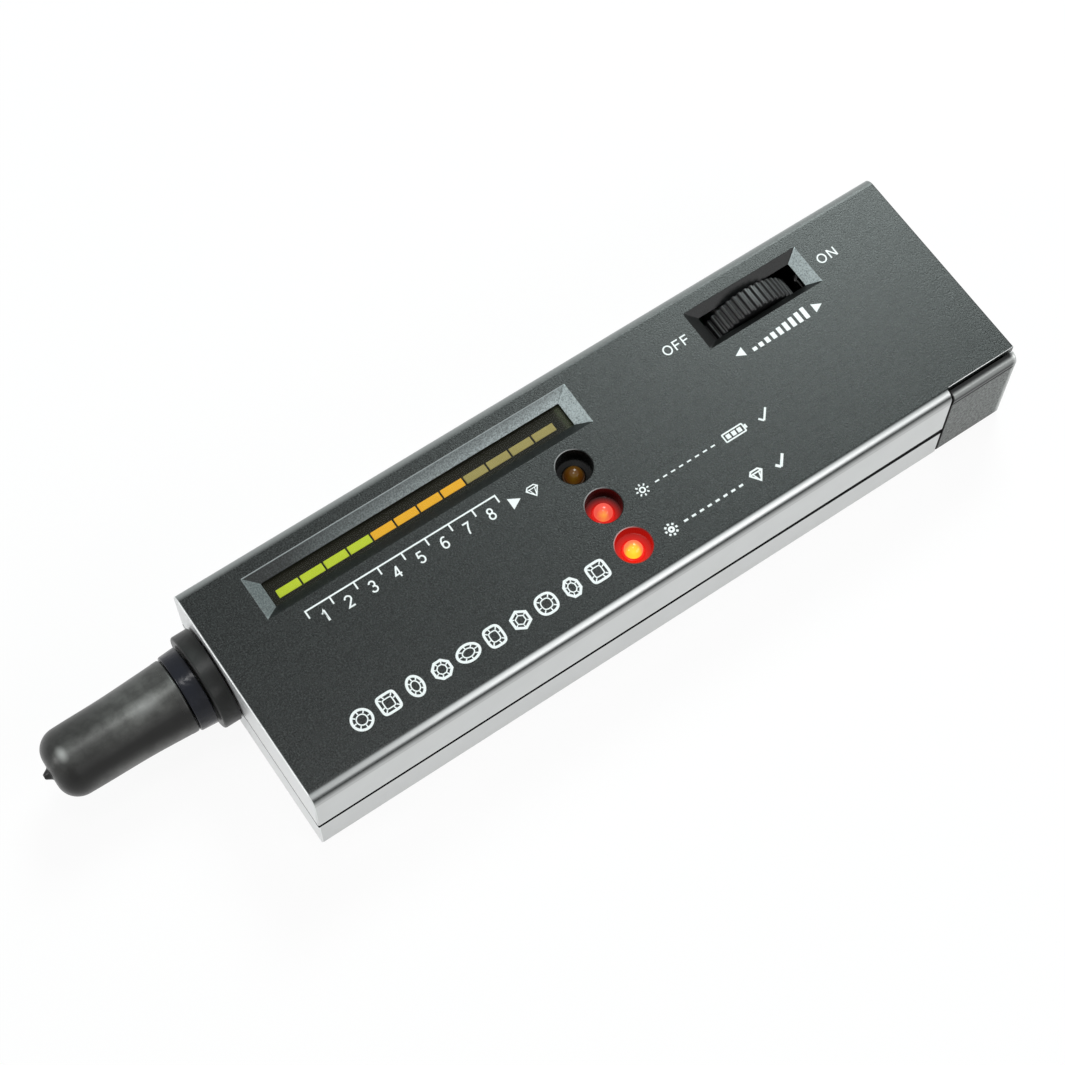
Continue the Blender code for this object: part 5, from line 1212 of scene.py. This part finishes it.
def cubic(start, start_way, end, end_way, count=40):
    """Points of a cubic that leaves start along start_way and arrives at end along end_way."""
    t = np.linspace(0, 1, count)[:, None]
    start, start_way, end, end_way = (np.asarray(v, float) for v in (start, start_way, end, end_way))
    return (
        start * (2 * t**3 - 3 * t**2 + 1)
        + start_way * (t**3 - 2 * t**2 + t)
        + end * (3 * t**2 - 2 * t**3)
        + end_way * (t**3 - t**2)
    )


def make_leads(red, black):
    """The four short wires inside the housing, on the routes of their solids."""
    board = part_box("circuit_board")[1].z + 0.3 * MM
    battery_wire, probe_wire = 0.59 * MM, 0.44 * MM
    for colour, material in (("red", red), ("black", black)):
        node = f"battery_lead_{colour}"
        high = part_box(node)[1]
        reach = 6.0 * MM
        start = (high.x, middle(node).y, high.z - 0.6 * MM)
        end = (start[0] - reach, start[1], board)
        route = cubic(start, (-reach, 0, 0), end, (0, 0, -reach))
        piece(f"{colour}_lead", [tube(route, battery_wire)], material, "housing", f"lead_{colour}", node)
    for index in range(2):
        node = f"probe_lead_{index + 1}"
        reach = (5.0 + 1.2 * index) * MM
        start = (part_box(node)[0].x, NOSE_Y - (1.8 + 1.3 * index) * MM, NOSE_Z + (2.3 - 0.4 * index) * MM)
        end = (start[0] + reach, start[1] - 1.2 * MM, board)
        route = cubic(start, (reach, 0, 0), end, (0, 0, -reach / 2))
        piece(f"probe_wire_{index + 1}", [tube(route, probe_wire)], black, "housing", "lead_black", node)


# Printed marks


def slab(outer, inner=None, lower=0.0):
    """Flat ink of a loop in X and Y, or of the band between two loops, with thin sides."""
    levels = (TOP - 0.004 * MM, TOP + INK - lower)
    loops = stacked(outer, levels)
    if inner is None:
        return capped(loops)
    loops = np.concatenate((loops, stacked(inner, levels[::-1])))
    return loops.reshape(-1, 3), grid_faces(4, len(outer), True).tolist()


def block(low, high, radius, steps=2):
    """Filled rectangle of ink between two corners, with rounded corners, in millimetres."""
    return slab(rounded_rectangle(np.array(low) * MM, np.array(high) * MM, radius * MM, steps))


def ribbon(path, width, closed=False, lower=0.0):
    """Line of ink along a path in X and Y: at each point its two sides stand half the width off, along the
    corner's bisector, and further out at a sharp corner by one over the cosine of half its turn.
    """
    path = np.asarray(path, float)
    if closed:
        before, after = path - np.roll(path, 1, axis=0), np.roll(path, -1, axis=0) - path
    else:
        ways = np.diff(path, axis=0)
        before, after = np.vstack((ways[:1], ways)), np.vstack((ways, ways[-1:]))
    after = unit(after)
    bisector = unit(unit(before) + after)
    cosine = np.maximum(np.sum(bisector * after, axis=1), 0.42)
    offset = np.column_stack((-bisector[:, 1], bisector[:, 0])) * (width / 2 / cosine)[:, None]
    if closed:
        return slab(path - offset, path + offset, lower)
    return slab(np.concatenate((path + offset, (path - offset)[::-1])), None, lower)


def stroke(start, end, width, lower=0.0):
    """Straight line of ink with square ends."""
    return ribbon((start, end), width, False, lower)


def bow(x, y, rx, ry, start, end, count=14):
    """Points on an ellipse about (x, y), from one angle in degrees to another."""
    turns = np.radians(np.linspace(start, end, count))
    return np.column_stack((x + rx * np.cos(turns), y + ry * np.sin(turns)))


def glyphs():
    """Plain figures and letters one unit high: width, then strokes as lists of points. A stroke whose ends
    nearly meet is a closed one.
    """
    two = np.vstack((bow(0.30, 0.71, 0.25, 0.25, 172, -38), [(0.06, 0.035), (0.57, 0.035)]))
    return {
        "1": (0.42, [(0.08, 0.74), (0.22, 0.82), (0.31, 0.98), (0.31, 0.0)], [(0.36, 0.98), (0.36, 0.0)]),
        "2": (0.60, two),
        "3": (0.58, bow(0.28, 0.735, 0.22, 0.235, 165, -100), bow(0.28, 0.28, 0.25, 0.25, 100, -165)),
        "4": (0.62, [(0.44, 0.0), (0.44, 0.98)], [(0.42, 0.93), (0.06, 0.28), (0.60, 0.28)]),
        "5": (
            0.58,
            [(0.53, 0.945), (0.12, 0.945)],
            [(0.15, 0.98), (0.09, 0.47)],
            bow(0.29, 0.32, 0.25, 0.29, 138, -150, 20),
        ),
        "6": (0.58, bow(0.30, 0.30, 0.24, 0.27, 0, 348, 26), bow(0.38, 0.42, 0.32, 0.55, 62, 190)),
        "7": (0.56, [(0.04, 0.96), (0.53, 0.96), (0.36, 0.62), (0.25, 0.30), (0.21, 0.0)]),
        "8": (0.58, bow(0.29, 0.755, 0.20, 0.21, 0, 348, 26), bow(0.29, 0.285, 0.24, 0.25, 0, 348, 26)),
        "O": (0.92, bow(0.46, 0.49, 0.41, 0.45, 0, 350, 36)),
        "N": (0.86, [(0.08, 0.0), (0.08, 0.98)], [(0.10, 0.95), (0.76, 0.03)], [(0.78, 0.0), (0.78, 0.98)]),
        "F": (0.68, [(0.08, 0.0), (0.08, 0.94), (0.66, 0.94)], [(0.10, 0.51), (0.60, 0.51)]),
    }


def inset(loop, width):
    """A convex loop moved in by width: each corner along its bisector, by width over the sine of half its
    angle.
    """
    loop = np.asarray(loop, float)
    before = unit(np.roll(loop, 1, axis=0) - loop)
    after = unit(np.roll(loop, -1, axis=0) - loop)
    bisector = before + after
    flat = np.linalg.norm(bisector, axis=1) < 1e-6
    bisector[flat] = np.column_stack((-after[flat][:, 1], after[flat][:, 0]))
    bisector = unit(bisector)
    sine = np.abs(bisector[:, 0] * after[:, 1] - bisector[:, 1] * after[:, 0])
    return loop + bisector * (width / sine)[:, None]


def outline(loop, width):
    """Band of ink inside a convex loop."""
    return slab(loop, inset(loop, width))


def ellipse(centre, rx, ry, count=40, power=1.0):
    """Closed curve (rx c |c|^(p-1), ry s |s|^(p-1)) about centre: an ellipse at power 1, squarer below."""
    turns = np.arange(count) / count * TURN + TURN / count / 2
    c, s = np.cos(turns), np.sin(turns)
    x = rx * np.sign(c) * np.abs(c) ** power
    y = ry * np.sign(s) * np.abs(s) ** power
    return np.column_stack((x, y)) + centre


def scale_marks():
    """The bracket with its nine ticks beside the light bars, in strips that meet without overlap."""
    half, top, foot = 0.135, 6.36, 4.87
    under = top - 2 * half
    strips = [((SCALE_START - half, under), (SCALE_START + 8 * SCALE_PITCH + half, top))]
    for index in range(9):
        x = SCALE_START + index * SCALE_PITCH
        strips.append(((x - half, foot), (x + half, under)))
    return [block(low, high, 0.01, 1) for low, high in strips]


def arrow(x, y, reach, half=0.86):
    """Filled triangle that points along X by reach, from a base at x."""
    return slab(np.array([(x, y - half), (x + reach, y), (x, y + half)])[:: 1 if reach > 0 else -1] * MM)


def volume_marks():
    """Two arrows with a rising row of blocks between them."""
    row, foot, count, start, pitch, width = 5.07, 4.1, 9, 31.5, 1.3, 0.78
    parts = [arrow(30.15, row, -1.6), arrow(43.95, row, 1.65)]
    for index in range(count):
        x = start + index * pitch
        height = 0.45 + 1.75 * (index + 1) / count
        parts.append(block((x, foot), (x + width, foot + height), 0.08))
    return parts


def lamp_mark(x, y, width):
    """A ring with eight rays: a lit lamp."""
    centre = np.array((x, y)) * MM
    parts = [outline(ellipse(centre, 0.55 * MM, 0.55 * MM, 24), width)]
    for turn in np.arange(8) / 8 * TURN:
        way = np.array((math.cos(turn), math.sin(turn))) * MM
        parts.append(stroke(centre + way * 0.75, centre + way * 1.12, width))
    return parts


def dashes(start, end, y, width, count):
    """Row of straight strokes with gaps as long as they are."""
    edges = np.linspace(start, end, 2 * count) * MM
    return [stroke((a, y * MM), (b, y * MM), width) for a, b in edges.reshape(-1, 2)]


def tick_mark(x, y, width):
    """A tick in two strokes, joined where the short one ends."""
    points = np.array([(x, y), (x + 0.62, y - 0.72), (x + 2.1, y + 1.05)]) * MM
    return [stroke(points[0], points[1], width), stroke(points[1], points[2], width, 0.004 * MM)]


def battery_mark(x, y, width):
    """Outline of a battery with its knob and three filled cells."""
    low, high = np.array((x, y - 0.85)) * MM, np.array((x + 4.0, y + 0.85)) * MM
    parts = [outline(rounded_rectangle(low, high, 0.25 * MM, 4), width)]
    parts.append(block((x + 4.02, y - 0.35), (x + 4.4, y + 0.35), 0.05))
    for index in range(3):
        cell = np.array((x + 0.55 + index * 1.05, y - 0.4))
        parts.append(block(cell, cell + (0.75, 0.8), 0.05))
    return parts


def gem_side_mark(x, y, size, width):
    """A cut stone seen from the side: crown, girdle and point, with two facet lines."""
    def placed(*points):
        return (np.array(points) * size + (x, y)) * MM

    crown = placed((-1, 0.35), (0, -1), (1, 0.35), (0.55, 0.85), (-0.55, 0.85))
    parts = [outline(crown, width), stroke(*placed((-0.8, 0.35), (0.8, 0.35)), width * 0.8, 0.003 * MM)]
    for side in (-0.42, 0.42):
        parts.append(stroke(*placed((side, 0.33), (side * 0.2, -0.75)), width * 0.7, 0.006 * MM))
    return parts


def cut_mark(x, y, rx, ry, power, sides):
    """A cut stone seen from above: its outline, its table and a facet line at each of the table's corners.
    Its curve has half sizes rx and ry, a power and a number of sides.
    """
    bold, thin = 0.42 * MM, 0.2 * MM
    centre = np.array((x, y)) * MM
    outer = ellipse(centre, rx * MM, ry * MM, sides, power)
    table = (outer - centre) * 0.52 + centre
    parts = [outline(outer, bold), outline(table, thin)]
    for way in outer[::max(1, sides // 8)] - centre:
        parts.append(stroke(centre + way * 0.54, centre + way * 0.82, thin, 0.005 * MM))
    return parts


def gem_row():
    """Ten plain stone cuts in a row, where the top face carries its widest marks."""
    cuts = (
        (1.85, 1.85, 1.0, 32),
        (1.75, 1.75, 0.45, 32),
        (1.45, 1.9, 1.0, 32),
        (1.75, 1.75, 1.0, 8),
        (2.1, 1.55, 1.0, 32),
        (1.6, 1.85, 0.62, 32),
        (1.8, 1.8, 1.0, 6),
        (1.85, 1.85, 0.8, 32),
        (1.5, 1.85, 1.0, 8),
        (1.75, 1.75, 0.45, 32),
    )
    start, pitch, row = -53.2, 4.72, -13.12
    return [part for index, cut in enumerate(cuts) for part in cut_mark(start + index * pitch, row, *cut)]


def lettering(word, start, end, base, height, width):
    """A word of plain letters spread from start to end along X, in millimetres, on a base line."""
    shapes = [glyphs()[letter] for letter in word]
    spare = end - start - sum(share for share, *_ in shapes) * height
    space = spare / max(len(word) - 1, 1)
    parts = []
    x = start if len(word) > 1 else start + spare / 2
    for share, *strokes in shapes:
        for order, points in enumerate(strokes):
            points = np.asarray(points)
            closed = bool(np.linalg.norm(points[0] - points[-1]) < 0.1)
            parts.append(ribbon((points * height + (x, base)) * MM, width * MM, closed, order * 0.003 * MM))
        x += share * height + space
    return parts


def make_marks(material):
    """All marks as one piece: the scale and its figures, the wheel's marks, the lamps' rows and the cuts."""
    thin, bold = 0.25 * MM, 0.36 * MM
    battery_row, ready_row = -5.75, -13.7
    word_height, word_line = 1.72, 0.25
    figure_base, figure_height, figure_line = 2.93, 2.0, 0.27
    parts = scale_marks() + volume_marks()
    for number in range(1, 9):
        start = SCALE_START + SCALE_PITCH * (number - 1)
        figure = str(number)
        parts += lettering(figure, start, start + SCALE_PITCH, figure_base, figure_height, figure_line)
    parts += lettering("OFF", 19.45, 24.2, 11.1, word_height, word_line)
    parts += lettering("ON", 49.85, 53.4, 10.87, word_height, word_line)
    parts += [arrow(-15.4, 3.62, 1.85, 1.05)] + gem_side_mark(-11.2, 3.6, 1.15, 0.2 * MM)
    parts += lamp_mark(2.8, battery_row, thin) + dashes(5.2, 16.6, battery_row, thin, 8)
    parts += battery_mark(18.3, battery_row, thin) + tick_mark(24.9, battery_row - 0.15, 0.34 * MM)
    parts += lamp_mark(2.6, ready_row, bold) + dashes(5.0, 16.2, ready_row, bold, 8)
    parts += gem_side_mark(19.0, ready_row + 0.05, 1.3, 0.3 * MM)
    parts += tick_mark(22.3, ready_row - 0.15, 0.46 * MM)
    return piece("printed_marks", parts + gem_row(), material, "housing", "print", angle=0)


# Solids that stay as they are


def paint_node(node, material):
    """Gives a CAD node its material."""
    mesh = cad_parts[node].data
    mesh.materials.clear()
    mesh.materials.append(material)


def paint_nodes(steel, black):
    """Gives the CAD nodes that stay as they are their finishes."""
    bars = (
        bar_finish("green_bar", (0.60, 0.75, 0.018), (0.70, 0.86, 0.032), 0.94),
        bar_finish("orange_bar", (0.95, 0.45, 0.004), (1.0, 0.53, 0.010), 1.12),
        # The unlit bars glow too: painted light for the light that reaches them under the window.
        bar_finish("unlit_bar", (0.47, 0.39, 0.10), (0.57, 0.48, 0.15), 0.68),
    )
    for number in range(12):
        paint_node(f"bar_segment_{number + 1:02d}", bars[number // 4])
    chip = chip_finish("chip_body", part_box("circuit_board")[1].z + 0.85 * MM)
    finishes = {
        "display_window": window_finish(),
        "bargraph_frame": frame_finish(),
        "circuit_board": board_finish(),
        "bar_driver_chip": chip,
        "amplifier_chip": chip,
        "capacitor_1": capacitor_finish(),
        "capacitor_2": capacitor_finish(),
        "buzzer": moulded_finish("buzzer_case", (0.012, 0.012, 0.012), (0.026, 0.026, 0.027), 0.4),
        "volume_control": metal_finish("control_can", (0.42, 0.42, 0.41), (0.56, 0.55, 0.53), 0.3),
        "wheel_shaft": steel,
        "battery": battery_finish(),
        "battery_snap": black,
        "probe_contact_block": moulded_finish(
            "contact_block", (0.10, 0.035, 0.012), (0.17, 0.065, 0.022), 0.5
        ),
    }
    for node, finish in finishes.items():
        paint_node(node, finish)


# Camera, light and floor


def make_camera():
    """The photo's camera: its place and its three axes, solved from corners of the housing."""
    data = bpy.data.cameras.new("camera")
    data.sensor_width = 36
    data.lens = 81.58
    data.clip_start = 0.01
    camera = object_of("camera", data)
    right = Vector((0.82636, -0.56313, 0.00494))
    up = Vector((0.51170, 0.75450, 0.41096))
    back = -Vector((0.23515, 0.33707, -0.91164))
    turn = Matrix((right, up, back)).transposed().to_4x4()
    camera.matrix_world = Matrix.Translation((-0.10207, -0.12659, 0.35644)) @ turn
    bpy.context.scene.camera = camera


def add_softbox(name, place, width, height, level, colour):
    """Area lamp that faces the object, as bright as a white card times level."""
    data = bpy.data.lights.new(name, "AREA")
    data.shape = "RECTANGLE"
    data.size = width
    data.size_y = height
    data.energy = level * math.pi * width * height
    data.color = colour
    lamp = object_of(name, data)
    lamp.location = place
    lamp.rotation_mode = "QUATERNION"
    lamp.rotation_quaternion = Vector(place).to_track_quat("Z", "Y")


def seen_plainly(nodes):
    """1 for what the camera sees straight, in gloss or through glass, and 0 for lighting."""
    kinds = ("Is Camera Ray", "Is Glossy Ray", "Is Transmission Ray")
    straight, gloss, glass = (nodes.node("ShaderNodeLightPath", {}, {}, kind) for kind in kinds)
    return straight.most(gloss).most(glass)


def make_floor():
    """Pale sweep under the object. It reads as white, and keeps a faint shadow."""
    nodes = Nodes(bpy.data.materials.new("pale_floor"))
    diffuse = nodes.node("ShaderNodeBsdfDiffuse", {}, {"Color": (0.93, 0.93, 0.93, 1)})
    white = nodes.node("ShaderNodeEmission", {}, {})
    mix = nodes.node("ShaderNodeMixShader", {}, {0: seen_plainly(nodes) * 0.93, 1: diffuse, 2: white})
    reach, z = 3.0, -0.02 * MM
    corners = [(-reach, -reach, z), (reach, -reach, z), (reach, reach, z), (-reach, reach, z)]
    floor = object_of("floor", mesh_from("floor", corners, [(0, 1, 2, 3)]))
    floor.data.materials.append(nodes.close(mix))


def make_light():
    """Dim cool room light with a white surround for the eye, and four softboxes."""
    nodes = Nodes(bpy.data.worlds.new("studio"))
    grey = nodes.node("ShaderNodeBackground", {}, {"Color": (0.95, 0.98, 1.0, 1), "Strength": 0.12})
    surround = nodes.node("ShaderNodeBackground", {}, {})
    mix = nodes.node("ShaderNodeMixShader", {}, {0: seen_plainly(nodes), 1: grey, 2: surround})
    bpy.context.scene.world = nodes.close(mix, "ShaderNodeOutputWorld")
    white = (1.0, 1.0, 1.0)
    add_softbox("front_softbox", (0.36, -0.62, 0.44), 0.72, 0.34, 4.5, white)
    add_softbox("left_softbox", (-0.80, 0.19, 0.43), 0.18, 0.18, 14.0, white)
    add_softbox("cap_softbox", (-0.03, 0.05, 0.74), 0.15, 0.15, 12.0, white)
    add_softbox("rear_softbox", (0.47, 0.47, 0.72), 0.36, 0.36, 17.5, (0.88, 1.0, 0.98))
    bpy.context.scene.view_settings.view_transform = "Standard"


def build():
    """Builds the stage, then the pieces from the case inwards, and paints the solids that stay."""
    make_camera()
    make_light()
    make_floor()
    steel = metal_finish("bright_steel", (0.50, 0.50, 0.49), (0.60, 0.60, 0.58), 0.24)
    copper = metal_finish("probe_copper", (0.72, 0.30, 0.17), (0.85, 0.42, 0.26), 0.2)
    black = moulded_finish("black_sleeve", (0.010, 0.010, 0.010), (0.022, 0.022, 0.022), 0.42)
    red = moulded_finish("red_sleeve", (0.42, 0.012, 0.010), (0.56, 0.020, 0.014), 0.38)
    holder = moulded_finish("holder_black", (0.018, 0.018, 0.019), (0.032, 0.032, 0.034), 0.34)
    collar, ring = (
        moulded_finish(name, low, high, rough, grain=0.3, wave=wave, gloss=0.25)
        for name, low, high, rough, wave in (
            ("satin_collar", (0.010, 0.011, 0.0105), (0.020, 0.021, 0.020), 0.30, 1.2),
            ("glossy_ring", (0.004, 0.005, 0.009), (0.010, 0.012, 0.020), 0.16, 1.6),
        )
    )
    case = case_finish()
    make_upper_case(case)
    make_lower_case(case)
    make_rear_cover(cover_finish())
    make_screws(steel)
    make_lamps(steel)
    make_wheel(rubber_finish())
    make_rings(collar, ring)
    make_barrel(holder)
    make_plunger(steel, copper)
    make_spring(steel)
    make_cap(vinyl_finish())
    make_leads(red, black)
    make_marks(ink_finish())
    paint_nodes(steel, black)


build()
